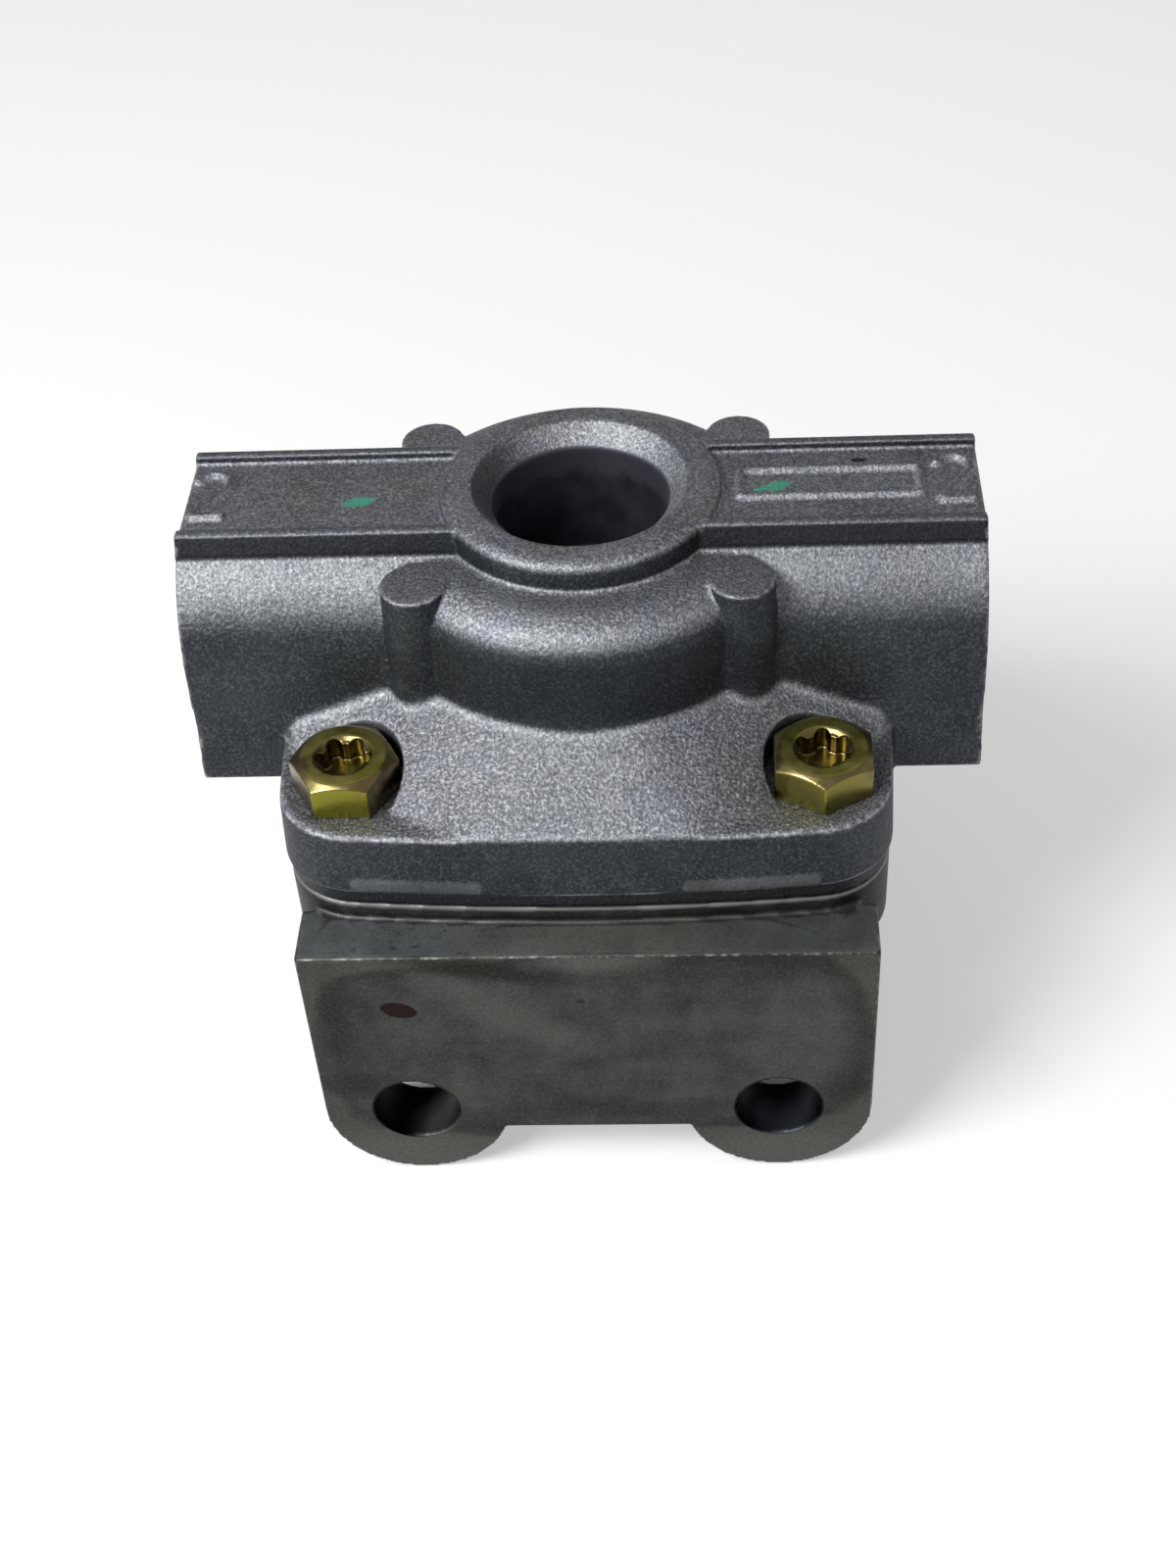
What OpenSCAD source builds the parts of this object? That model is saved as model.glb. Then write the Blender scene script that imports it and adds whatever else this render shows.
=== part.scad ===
// Quick exhaust valve for an air brake line, in millimetres.
// Frame: origin midway between the two bracket holes, on the flat mounting face.
// X runs along the delivery ports, +Y goes from the mounting face into the valve, Z is up.

/* [Supply port] */
// Height of the body from the joint with the cover to the top face
body_h = 35; // [33:0.5:39]
// Outer radius of the boss around the supply port
port_boss_r = 16.4; // [15.6:0.1:18]
// Rounding of the upper edge of that boss
port_boss_edge = 1.6; // [0.8:0.1:2]
// Radius of the supply bore where the pipe thread is cut
supply_r = 10.26; // [9:0.1:10.6]
// Radius of the lead-in chamfer at the top face
supply_mouth_r = 12.5; // [11.5:0.1:13.5]
// Depth of the lead-in chamfer
supply_mouth_d = 2.4; // [1:0.1:3]
// Depth of the threaded part of the supply bore
supply_thread_d = 17; // [12:0.5:20]
// Radius of the passage below the thread
supply_pass_r = 8.4; // [7:0.1:8.8]

/* [Delivery tube] */
// Length of the tube at its top, from one delivery end to the other
tube_len = 91.7; // [86:0.1:110]
// Radius of the upper half of the tube
tube_r = 14.8; // [13.6:0.1:15.4]
// Height of the tube axis above the joint
tube_axis_z = 20.4; // [19:0.1:21]
// Height of the flat underside of the tube above the joint
tube_bottom_z = 3.8; // [3.4:0.1:6]
// Draft of the tube ends in degrees, wider below
tube_draft = 1.35; // [0.5:0.05:2.5]
// Half width of the tube at its underside
tube_foot_y = 15.5; // [14.8:0.1:16.5]
// Half width of the flat pad on top of the tube
pad_y = 8.4; // [7:0.1:9.5]
// How much wider the pad is where it meets the round of the tube
pad_flare = 1; // [0.4:0.1:1.4]
// How far the pad rails end below the top face
pad_drop = 0.4; // [0.2:0.1:1]
// Width of the rail along each long edge of the pad
rail_w = 1.3; // [1:0.1:2.5]
// Height of the rails above the pad
rail_h = 1.1; // [0.5:0.1:1.5]
// Radius of the threaded delivery bores
delivery_r = 8.3; // [7:0.1:9]
// Radius of the lead-in chamfer of a delivery bore
delivery_mouth_r = 9.7; // [9.2:0.1:10.5]
// Depth of the threaded part of a delivery bore
delivery_thread_d = 15; // [11:0.5:17]
// Radius of the passage behind the delivery thread
delivery_pass_r = 7.2; // [5.5:0.1:7.4]

/* [Dome and flange] */
// Radius of the dome over the ring-shaped delivery chamber
dome_r = 24; // [23:0.1:25]
// Height of the dome top above the joint
dome_top_z = 31.5; // [30:0.1:32.5]
// Rounding of the dome shoulder
dome_round = 5; // [3:0.1:6]
// Radius at which the sloping skirt starts, inside the dome
skirt_r = 20; // [18:0.1:22]
// Height of the skirt above the joint at that radius
skirt_top_z = 20.6; // [19.5:0.1:22]
// Height the skirt would reach 3 mm outside the flange
skirt_low_z = 8.4; // [8:0.1:9]
// Radius at which it would reach that height in the corners
skirt_low_r = 39.4; // [38.6:0.1:41]
// Height of the skirt beside the tube, next to the ejector bosses
skirt_side_z = 16.4; // [16:0.1:17.4]
// Distance of that place from the axis along X
skirt_side_x = 23; // [21:0.1:25]
// Distance of that place from the axis along Y
skirt_side_y = 15; // [14.6:0.1:16]
// Height of the skirt beside the tube, next to the flange sides
skirt_end_z = 12.2; // [11.6:0.1:12.8]
// Distance of that place from the axis along X
skirt_end_x = 35.2; // [34:0.1:35.8]
// Half width of the flange along X
flange_x = 36.3; // [35:0.1:40]
// Half depth of the flange along Y
flange_y = 34.2; // [33:0.1:36]
// Radius of the slight bow of the flange sides
flange_bow_r = 300; // [250:10:500]
// Radius of the flange corners
flange_corner_r = 9; // [7:0.5:10]
// Height of the flange edge, where its width is measured
flange_edge_z = 10.4; // [10:0.1:11]
// Draft of the flange sides in degrees, wider below
flange_draft = 2.5; // [1:0.1:4]
// Height of the narrower band under the parting line
band_h = 2; // [1:0.1:3]
// Setback of the foot of that band
band_in = 0.4; // [0.2:0.05:0.7]
// Radius of the four ejector bosses
ejector_r = 3.8; // [3:0.1:4]
// Distance of an ejector boss from the axis along X
ejector_x = 18.4; // [17.5:0.1:19.5]
// Distance of an ejector boss from the axis along Y
ejector_y = 14.2; // [13.5:0.1:15]

/* [Cover and bracket] */
// Thickness of the cover plate
cover_h = 9.6; // [8.5:0.1:12]
// Setback of the cover edge from the widest line of the flange
cover_in = 0.3; // [0.2:0.05:0.6]
// Depth of the bracket top below the joint
ledge_d = 2.34; // [1.5:0.1:4]
// Distance from the mounting face to the valve axis
axis_y = 39.8; // [38.5:0.1:42]
// Distance from the bracket holes up to the joint
joint_z = 29.64; // [26:0.1:40]
// Thickness of the bracket plate
bracket_t = 8; // [6:0.1:9]
// Distance between the two bracket holes
hole_pitch = 44.45; // [42:0.05:46]
// Radius of the bracket holes
hole_r = 5.17; // [4:0.01:6]
// Radius of the rounded lug around each bracket hole
lug_r = 11.34; // [10:0.02:12]
// Depth of the straight lower edge below the bracket holes
lower_edge_d = 3.5; // [2:0.1:5]
// Fillet between the bracket and the underside of the cover
bracket_fillet = 4; // [2:0.1:6]

/* [Exhaust] */
// Radius of the exhaust bore
exhaust_r = 7.2; // [6:0.1:7.6]
// Outer radius of the exhaust boss
exhaust_boss_r = 13; // [11:0.1:15]
// Depth of the exhaust boss below the joint
exhaust_boss_d = 21; // [16:0.1:24]
// Depth of the chamfer at the exhaust mouth
exhaust_mouth_d = 1.5; // [0.8:0.1:2]

/* [Inner parts] */
// Radius of the chamber around the diaphragm
chamber_r = 20.5; // [20:0.1:20.9]
// Depth of the chamber floor in the cover
chamber_d = 5; // [4:0.1:6]
// Outer radius of the supply tube inside the chamber
supply_tube_r = 13.4; // [12.6:0.1:14]
// Radius of the diaphragm
diaphragm_r = 17.6; // [16.8:0.1:18]
// Thickness of the diaphragm
diaphragm_t = 3; // [2:0.1:4]
// Lift of the diaphragm from the exhaust seat to the supply seat
diaphragm_lift = 1; // [0.6:0.1:1.6]
// Height of the exhaust seat above the joint
exhaust_seat_z = 0.2; // [0:0.1:0.6]
// Width of the exhaust seat ring
exhaust_seat_w = 1.8; // [1.2:0.1:2.4]
// Gap between the diaphragm and its guide ribs
guide_gap = 0.35; // [0.2:0.05:0.6]
// Section radius of the sealing ring
seal_r = 1.2; // [1:0.05:1.4]
// Radius of the centre line of the sealing ring
seal_pitch_r = 24; // [23.7:0.1:26]
// Side gap of the sealing ring in its groove
seal_gap = 0.1; // [0.05:0.05:0.3]

/* [Cap screws] */
// Distance of a screw from the axis along X
screw_x = 27.3; // [26.8:0.1:28]
// Distance of a screw from the axis along Y
screw_y = 24.1; // [23.6:0.1:25]
// Width across the flats of the hexagon head
screw_af = 11.1; // [10:0.1:11.6]
// Height of the hexagon head
screw_head_h = 4.8; // [4:0.1:5.5]
// Radius of the screw shank
screw_r = 3.1; // [2.9:0.05:3.3]
// Length of the shank under the head
screw_len = 18; // [15:0.5:19.5]
// Gap between a shank and its hole in the flange
screw_gap = 0.35; // [0.2:0.05:0.6]
// Gap that stands for the thread between a shank and the cover
thread_gap = 0.05; // [0.02:0.01:0.1]
// Height of the flat screw seats above the joint
seat_z = 10.2; // [9.3:0.1:10.4]
// Height of the flat corner lands above the screw seats
land_rise = 0.15; // [0.1:0.05:0.4]
// Radius of the pocket around a screw head
seat_r = 6.7; // [6.6:0.05:7.4]
// Radius over the six lobes of the screw socket
socket_r = 3.3; // [2.8:0.1:3.6]
// Depth of the socket
socket_d = 3; // [2:0.1:3.5]

/* [Hidden] */
fine = 128;
eps = 0.01;

// The bow circles touch the flange middles; a corner disc lies inside both.
bow_y = flange_bow_r - flange_y;
bow_x = flange_bow_r - flange_x;
bow_far = sqrt(bow_x * bow_x + bow_y * bow_y);
corner_off = sqrt(pow(flange_bow_r - flange_corner_r, 2) - pow(bow_far / 2, 2)) / bow_far;
corner_x = corner_off * bow_y - bow_x / 2;
corner_y = corner_off * bow_x - bow_y / 2;

pad_top_z = body_h - pad_drop;
tube_half = tube_len / 2;
delivery_x = tube_half + tan(tube_draft) * (pad_top_z - tube_axis_z);
flange_foot = tan(flange_draft) * (flange_edge_z - band_h);
supply_seat_z = exhaust_seat_z + diaphragm_t + diaphragm_lift;
chamber_top_z = dome_top_z - dome_round - 1;
bracket_half = hole_pitch / 2 + lug_r;
seal_floor = 2 * seal_r;
screw_turns = [0, 30, 12, 47];

// Places children on the valve axis, with z = 0 at the joint of body and cover.
module on_axis() {
    translate([0, axis_y, joint_z]) children();
}

// Repeats children at the four screw places.
module at_screws() {
    for (i = [0 : 3]) {
        sx = (i % 2 == 0) ? -1 : 1;
        sy = (i < 2) ? -1 : 1;
        translate([sx * screw_x, sy * screw_y, 0]) rotate(screw_turns[i]) children();
    }
}

// Part of one flange quarter outside the lines from the corner disc to where it touches.
module corner_wedge() {
    far_x = flange_x + 20;
    far_y = flange_y + 20;
    out_y = corner_y + (corner_y + bow_y) * 20 / flange_bow_r;
    out_x = corner_x + (corner_x + bow_x) * 20 / flange_bow_r;
    polygon([
        [corner_x, corner_y],
        [corner_x + corner_x * 20 / flange_bow_r, out_y],
        [far_x, far_y],
        [out_x, corner_y + corner_y * 20 / flange_bow_r]
    ]);
}

// Block on a bowed square with round corners, set in by low at its foot and by high at its top.
module flange_block(h, low = 0, high = 0) {
    difference() {
        intersection_for (place = [[0, bow_y], [0, -bow_y], [bow_x, 0], [-bow_x, 0]]) {
            translate([place[0], place[1], 0]) {
                cylinder(r1 = flange_bow_r - low, r2 = flange_bow_r - high, h = h, $fn = 720);
            }
        }
        for (mx = [0, 1], my = [0, 1]) mirror([mx, 0, 0]) mirror([0, my, 0]) {
            translate([0, 0, -1]) linear_extrude(height = h + 2) corner_wedge();
        }
    }
    for (sx = [-1, 1], sy = [-1, 1]) translate([sx * corner_x, sy * corner_y, 0]) {
        cylinder(r1 = flange_corner_r - low, r2 = flange_corner_r - high, h = h, $fn = fine);
    }
}

// Half section of the dome and of the boss around the supply port.
module dome_section() {
    square([dome_r - dome_round, dome_top_z]);
    square([dome_r, dome_top_z - dome_round]);
    translate([dome_r - dome_round, dome_top_z - dome_round]) circle(r = dome_round, $fn = fine);
    square([port_boss_r - port_boss_edge, body_h]);
    square([port_boss_r, body_h - port_boss_edge]);
    translate([port_boss_r - port_boss_edge, body_h - port_boss_edge]) {
        circle(r = port_boss_edge, $fn = fine);
    }
    difference() {
        translate([port_boss_r - 1, dome_top_z - 1]) square([1.8, 1.8]);
        translate([port_boss_r + 0.8, dome_top_z + 0.8]) circle(r = 0.8, $fn = fine);
    }
}

// Cross section of the delivery tube with the railed pad on top.
module tube_section() {
    difference() {
        union() {
            translate([0, tube_axis_z]) circle(r = tube_r, $fn = fine);
            polygon([
                [-tube_r, tube_axis_z],
                [tube_r, tube_axis_z],
                [tube_foot_y, tube_bottom_z],
                [-tube_foot_y, tube_bottom_z]
            ]);
            polygon([
                [-pad_y, pad_top_z],
                [pad_y, pad_top_z],
                [pad_y + pad_flare, pad_top_z - 2.4],
                [pad_y + pad_flare, tube_axis_z],
                [-pad_y - pad_flare, tube_axis_z],
                [-pad_y - pad_flare, pad_top_z - 2.4]
            ]);
        }
        translate([-pad_y + rail_w, pad_top_z - rail_h]) square([2 * (pad_y - rail_w), 5]);
    }
}

// Delivery tube, cut off by its drafted end faces.
module tube() {
    intersection() {
        rotate([90, 0, 90]) translate([0, 0, -tube_len]) {
            linear_extrude(height = 2 * tube_len) tube_section();
        }
        rotate([90, 0, 0]) translate([0, 0, -tube_len]) linear_extrude(height = 2 * tube_len) {
            top = tube_half - tan(tube_draft) * 2;
            foot = tube_half + tan(tube_draft) * pad_top_z;
            polygon([[-top, pad_top_z + 2], [top, pad_top_z + 2], [foot, 0], [-foot, 0]]);
        }
    }
}

// Flange with flat lands in its corners and the sloping skirt that rises to the dome.
module flange() {
    intersection() {
        translate([0, 0, band_h]) {
            flange_block(skirt_top_z, -flange_foot, skirt_top_z * tan(flange_draft) - flange_foot);
        }
        union() {
            hull() {
                translate([0, 0, skirt_top_z - 1]) cylinder(r = skirt_r, h = 1, $fn = fine);
                translate([-skirt_side_x, -skirt_side_y, 0]) {
                    cube([2 * skirt_side_x, 2 * skirt_side_y, skirt_side_z]);
                }
                translate([-skirt_end_x, -skirt_side_y, 0]) {
                    cube([2 * skirt_end_x, 2 * skirt_side_y, skirt_end_z]);
                }
                intersection() {
                    flange_block(skirt_low_z, -3, -3);
                    cylinder(r = skirt_low_r, h = skirt_low_z, $fn = fine);
                }
            }
            translate([-2 * flange_x, -2 * flange_y, 0]) {
                cube([4 * flange_x, 4 * flange_y, seat_z + land_rise]);
            }
        }
    }
    flange_block(band_h + eps, band_in - flange_foot, 0.1 - flange_foot);
}

// Outside of the body casting.
module body_shape() {
    rotate_extrude($fn = fine) dome_section();
    flange();
    tube();
    for (sx = [-1, 1], sy = [-1, 1]) {
        translate([sx * ejector_x, sy * ejector_y, skirt_low_z]) {
            cylinder(r = ejector_r, h = dome_top_z - skirt_low_z, $fn = fine);
        }
    }
}

// Supply bore with its lead-in, thread length and passage.
module supply_bore() {
    translate([0, 0, body_h - supply_mouth_d]) {
        cylinder(r1 = supply_r, r2 = supply_mouth_r, h = supply_mouth_d, $fn = fine);
    }
    translate([0, 0, body_h - eps]) cylinder(r = supply_mouth_r, h = 1, $fn = fine);
    translate([0, 0, body_h - supply_thread_d]) {
        cylinder(r = supply_r, h = supply_thread_d - supply_mouth_d + eps, $fn = fine);
    }
    translate([0, 0, -1]) cylinder(r = supply_pass_r, h = body_h - supply_thread_d + 2, $fn = fine);
}

// Ring-shaped delivery chamber around the supply tube, open towards the cover.
module chamber() {
    rotate_extrude($fn = fine) {
        difference() {
            translate([0, -1]) square([chamber_r, chamber_top_z + 1]);
            translate([0, supply_seat_z]) square([supply_tube_r, chamber_top_z]);
        }
    }
}

// One delivery bore, on the +X side.
module delivery_bore() {
    translate([0, 0, tube_axis_z]) rotate([0, 90, 0]) {
        translate([0, 0, supply_tube_r + 2]) {
            cylinder(r = delivery_pass_r, h = delivery_x - supply_tube_r - 3, $fn = fine);
        }
        translate([0, 0, delivery_x - delivery_thread_d]) {
            cylinder(r = delivery_r, h = delivery_thread_d + 1, $fn = fine);
        }
        translate([0, 0, delivery_x - delivery_mouth_r + delivery_r]) {
            lead = delivery_mouth_r - delivery_r + 0.6;
            cylinder(r1 = delivery_r, r2 = delivery_r + lead, h = lead, $fn = fine);
        }
    }
}

// Body casting with the supply port, both delivery ports and the diaphragm seat.
module body() {
    color("silver") on_axis() difference() {
        body_shape();
        supply_bore();
        chamber();
        delivery_bore();
        mirror([1, 0, 0]) delivery_bore();
        at_screws() {
            translate([0, 0, -1]) cylinder(r = screw_r + screw_gap, h = skirt_top_z, $fn = fine);
            translate([0, 0, seat_z]) cylinder(r = seat_r, h = 12, $fn = fine);
        }
    }
}

// Outline of the bracket plate, drawn around the midpoint of its holes.
module bracket_outline() {
    top = joint_z - ledge_d;
    translate([-bracket_half, 0]) square([2 * bracket_half, top]);
    translate([-hole_pitch / 2, -lower_edge_d]) square([hole_pitch, top]);
    for (s = [-1, 1]) translate([s * hole_pitch / 2, 0]) circle(r = lug_r, $fn = fine);
}

// Bracket plate that carries the valve, one piece with the cover.
module bracket() {
    translate([0, bracket_t, 0]) rotate([90, 0, 0]) {
        linear_extrude(height = bracket_t) bracket_outline();
    }
    translate([-bracket_half, bracket_t - eps, joint_z - cover_h + eps]) difference() {
        translate([0, 0, -bracket_fillet]) cube([2 * bracket_half, bracket_fillet, bracket_fillet]);
        translate([-1, bracket_fillet, -bracket_fillet]) rotate([0, 90, 0]) {
            cylinder(r = bracket_fillet, h = 2 * bracket_half + 2, $fn = fine);
        }
    }
}

// Six ribs on the chamber floor that keep the diaphragm centred.
module guide_ribs() {
    near = diaphragm_r + guide_gap;
    top = supply_seat_z - 0.6;
    for (a = [30 : 60 : 330]) {
        rotate(a) translate([near, -1.2, -chamber_d - 1]) {
            cube([chamber_r - 0.35 - near, 2.4, chamber_d + 1 + top]);
        }
    }
}

// Cover casting: closes the body, holds the exhaust seat and the bracket.
module cover() {
    color("gray") {
        difference() {
            union() {
                on_axis() translate([0, 0, -cover_h]) {
                    flange_block(cover_h, cover_in - flange_foot, cover_in - flange_foot);
                }
                on_axis() translate([0, 0, -exhaust_boss_d]) {
                    cylinder(r = exhaust_boss_r, h = exhaust_boss_d - 1, $fn = fine);
                }
                bracket();
            }
            on_axis() {
                translate([0, 0, -chamber_d]) cylinder(r = chamber_r, h = chamber_d + 1, $fn = fine);
                translate([0, 0, -exhaust_boss_d - 1]) {
                    cylinder(r = exhaust_r, h = exhaust_boss_d + 2, $fn = fine);
                }
                translate([0, 0, -exhaust_boss_d - eps]) {
                    cylinder(r1 = exhaust_r + exhaust_mouth_d, r2 = exhaust_r, h = exhaust_mouth_d, $fn = fine);
                }
                seal_groove();
                at_screws() translate([0, 0, -cover_h - 1]) {
                    cylinder(r = screw_r + thread_gap, h = cover_h + 2, $fn = fine);
                }
            }
            for (s = [-1, 1]) translate([s * hole_pitch / 2, -1, 0]) rotate([-90, 0, 0]) {
                cylinder(r = hole_r, h = bracket_t + 2, $fn = fine);
            }
        }
        on_axis() difference() {
            translate([0, 0, -chamber_d - 1]) {
                cylinder(r = exhaust_r + exhaust_seat_w, h = chamber_d + 1 + exhaust_seat_z, $fn = fine);
            }
            translate([0, 0, -chamber_d - 2]) cylinder(r = exhaust_r, h = chamber_d + 4, $fn = fine);
        }
        on_axis() guide_ribs();
    }
}

// Groove for the sealing ring in the top of the cover.
module seal_groove() {
    half = seal_r + seal_gap;
    translate([0, 0, -seal_floor]) difference() {
        cylinder(r = seal_pitch_r + half, h = seal_floor + 1, $fn = fine);
        translate([0, 0, -1]) cylinder(r = seal_pitch_r - half, h = seal_floor + 3, $fn = fine);
    }
}

// Rubber disc that shuts the exhaust seat below or the supply seat above.
module diaphragm() {
    color("dimgray") on_axis() translate([0, 0, exhaust_seat_z]) rotate_extrude($fn = fine) {
        square([diaphragm_r - diaphragm_t / 2, diaphragm_t]);
        translate([diaphragm_r - diaphragm_t / 2, diaphragm_t / 2]) {
            circle(r = diaphragm_t / 2, $fn = fine);
        }
    }
}

// Rubber ring that seals the joint between body and cover.
module seal_ring() {
    color("black") on_axis() translate([0, 0, -seal_r]) rotate_extrude($fn = fine) {
        translate([seal_pitch_r, 0]) circle(r = seal_r, $fn = 64);
    }
}

// Six-lobe socket outline.
module socket_outline() {
    lobe = socket_r * 0.27;
    circle(r = socket_r * 0.76, $fn = 64);
    for (a = [0 : 60 : 300]) rotate(a) translate([socket_r - lobe, 0]) circle(r = lobe, $fn = 32);
}

// One hexagon head screw with a chamfered head and a six-lobe socket.
module cap_screw() {
    corner = screw_af / 2 / cos(30);
    difference() {
        intersection() {
            cylinder(r = corner, h = screw_head_h, $fn = 6);
            cylinder(r1 = corner + screw_head_h * 1.6 - 1.4, r2 = corner - 1.4, h = screw_head_h, $fn = fine);
        }
        translate([0, 0, screw_head_h - socket_d]) linear_extrude(height = socket_d + 1) socket_outline();
        translate([0, 0, screw_head_h - 0.5]) cylinder(r1 = socket_r - 0.5, r2 = socket_r + 0.13, h = 0.52, $fn = 64);
    }
    translate([0, 0, -screw_len + 1]) cylinder(r = screw_r, h = screw_len - 1 + eps, $fn = 64);
    translate([0, 0, -screw_len]) cylinder(r1 = screw_r - 0.8, r2 = screw_r, h = 1, $fn = 64);
}

// The four screws that hold body and cover together.
module cap_screws() {
    color("gold") on_axis() translate([0, 0, seat_z]) at_screws() cap_screw();
}

body();
cover();
diaphragm();
seal_ring();
cap_screws();
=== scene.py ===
import math

import bmesh
import bpy
import numpy as np
from mathutils import Matrix


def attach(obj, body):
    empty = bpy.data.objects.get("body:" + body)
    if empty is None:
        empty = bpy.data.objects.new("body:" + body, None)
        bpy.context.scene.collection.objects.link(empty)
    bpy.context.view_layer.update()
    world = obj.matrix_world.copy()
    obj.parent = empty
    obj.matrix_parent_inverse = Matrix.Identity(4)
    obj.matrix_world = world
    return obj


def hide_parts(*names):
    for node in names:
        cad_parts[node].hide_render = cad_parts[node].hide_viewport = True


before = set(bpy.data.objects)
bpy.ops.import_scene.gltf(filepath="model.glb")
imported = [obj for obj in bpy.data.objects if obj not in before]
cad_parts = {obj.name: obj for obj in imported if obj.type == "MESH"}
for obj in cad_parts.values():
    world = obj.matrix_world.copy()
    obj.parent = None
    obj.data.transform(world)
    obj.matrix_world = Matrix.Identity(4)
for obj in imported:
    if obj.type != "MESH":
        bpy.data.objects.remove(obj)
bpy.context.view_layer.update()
mm = 0.001
axisY, jointZ = 39.8, 29.64  # valve axis and body joint in the part's frame, mm
home = np.array([0, axisY, jointZ])  # where the axis meets the joint plane
screwX, screwY = 27.3, 24.1  # screws from the valve axis, mm
holeX = 22.225  # bracket holes from the middle, mm
ledgeZ = -2.34  # top of the bracket from the joint plane, mm
through = 9000  # half length of a mark that runs right through a piece, mm
print("frame loaded:", sorted(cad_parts))


def linear(hexColour, alpha=1.0):  # sRGB hex to linear RGBA
    srgb = np.array([int(hexColour[i:i + 2], 16) for i in (1, 3, 5)]) / 255
    lin = np.where(srgb <= 0.04045, srgb / 12.92, ((srgb + 0.055) / 1.055) ** 2.4)
    return (*lin.tolist(), alpha)


def addNode(tree, kind, settings=None, links=None):  # shader node with its settings and incoming links
    made = tree.nodes.new("ShaderNode" + kind)
    for key, value in (settings or {}).items():
        if isinstance(key, str) and hasattr(made, key):
            setattr(made, key, value)
        else:
            made.inputs[key].default_value = value
    for key, source in (links or {}).items():
        tree.links.new(source, made.inputs[key])
    return made


def setRamp(ramp, stops):  # stops: (position, linear colour)
    elements = ramp.color_ramp.elements
    for element, (place, value) in zip(elements, stops):
        element.position = place
        element.color = value


def newMaterial(name):
    material = bpy.data.materials.new(name)
    material.use_nodes = True
    tree = material.node_tree
    return material, tree, tree.nodes["Principled BSDF"]


def heights(limits):  # Map Range limits for two heights from the joint plane
    return {"From Min": (jointZ + limits[0]) * mm, "From Max": (jointZ + limits[1]) * mm}


def between(values, limits):
    return (values > limits[0]) & (values < limits[1])


def gridFaces(rows, cols):  # quads of a grid, closed across the columns
    r, c = np.meshgrid(np.arange(rows - 1), np.arange(cols), indexing="ij")
    n = (c + 1) % cols
    quad = [r * cols + c, r * cols + n, (r + 1) * cols + n, (r + 1) * cols + c]
    return np.stack([q.ravel() for q in quad], 1)


def coordinates(mesh):  # vertex positions in mm, from the valve axis and the joint plane
    flat = np.empty(len(mesh.vertices) * 3)
    mesh.vertices.foreach_get("co", flat)
    return flat.reshape(-1, 3) / mm - home


def setCoordinates(mesh, places):
    mesh.vertices.foreach_set("co", ((places + home) * mm).ravel())
    mesh.update()


# camera place and lens, worked out from sizes seen in the photograph; angles in degrees, image in pixels
cameraSet = {
    "place": (15.07, axisY - 207.82, jointZ + 179.2), "yaw": -4.214, "pitch": -44.622, "roll": 3.817,
    "focalPixels": 2219.95, "centre": (614.8, 878.4), "image": (1200, 1600),
    "sensorMm": 36, "clip": (0.01, 20),
}


def makeCamera(s):
    yaw, pitch, roll = (math.radians(s[k]) for k in ("yaw", "pitch", "roll"))
    ahead = np.array([math.sin(yaw) * math.cos(pitch), math.cos(yaw) * math.cos(pitch), math.sin(pitch)])
    right = np.array([math.cos(yaw), -math.sin(yaw), 0.0])
    down = np.cross(ahead, right)
    turnedRight = math.cos(roll) * right + math.sin(roll) * down
    turnedDown = -math.sin(roll) * right + math.cos(roll) * down
    data = bpy.data.cameras.new("photoCamera")
    wide, tall = s["image"]
    data.sensor_width = s["sensorMm"]
    data.lens = s["focalPixels"] / tall * s["sensorMm"]
    data.shift_x = (wide / 2 - s["centre"][0]) / tall
    data.shift_y = (s["centre"][1] - tall / 2) / tall
    data.clip_start, data.clip_end = s["clip"]
    camera = bpy.data.objects.new("photoCamera", data)
    basis = np.stack([turnedRight, -turnedDown, -ahead, np.array(s["place"]) * mm], 1)
    camera.matrix_world = Matrix(np.vstack([basis, [0, 0, 0, 1]]).tolist())
    bpy.context.scene.collection.objects.link(camera)
    bpy.context.scene.camera = camera


makeCamera(cameraSet)
print("camera set")

# floor, world and lamp: one key from the left front, 46 degrees up, and an even fill from all round
stageSet = {
    "floorZ": -11.6, "floorHalf": 3000, "floorColour": "#C9C9C8", "floorGlow": 0.42, "fill": 0.37,
    # where the floor's painted shadow sits behind the lugs, and how far it reaches
    "shadeY": 14, "shadeReach": (4, 13),
    "keyPower": 4.4, "keySize": 0.28, "keyAway": 620, "keyTurn": -48, "keyRise": 46,
}


def makeKeyLamp(s):  # turn is measured from -Y towards +X, rise above the floor
    lamp = bpy.data.lights.new("keyLamp", "AREA")
    lamp.energy, lamp.size = s["keyPower"], s["keySize"]
    holder = bpy.data.objects.new("keyLamp", lamp)
    turn, rise = math.radians(s["keyTurn"]), math.radians(s["keyRise"])
    out = np.array([math.sin(turn) * math.cos(rise), -math.cos(turn) * math.cos(rise), math.sin(rise)])
    side = np.cross(-out, (0, 0, 1))
    side = side / np.linalg.norm(side)
    place = home * mm + out * s["keyAway"] * mm
    basis = np.stack([side, np.cross(side, -out), out, place], 1)
    holder.matrix_world = Matrix(np.vstack([basis, [0, 0, 0, 1]]).tolist())
    bpy.context.scene.collection.objects.link(holder)


def seenDirectly(tree):  # 1 for rays that show the floor itself: camera, glossy and transmission
    path = addNode(tree, "LightPath")
    first = addNode(tree, "Math", {"operation": "MAXIMUM"},
                    {0: path.outputs["Is Camera Ray"], 1: path.outputs["Is Glossy Ray"]})
    return addNode(tree, "Math", {"operation": "MAXIMUM"},
                   {0: first.outputs[0], 1: path.outputs["Is Transmission Ray"]}).outputs[0]


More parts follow.
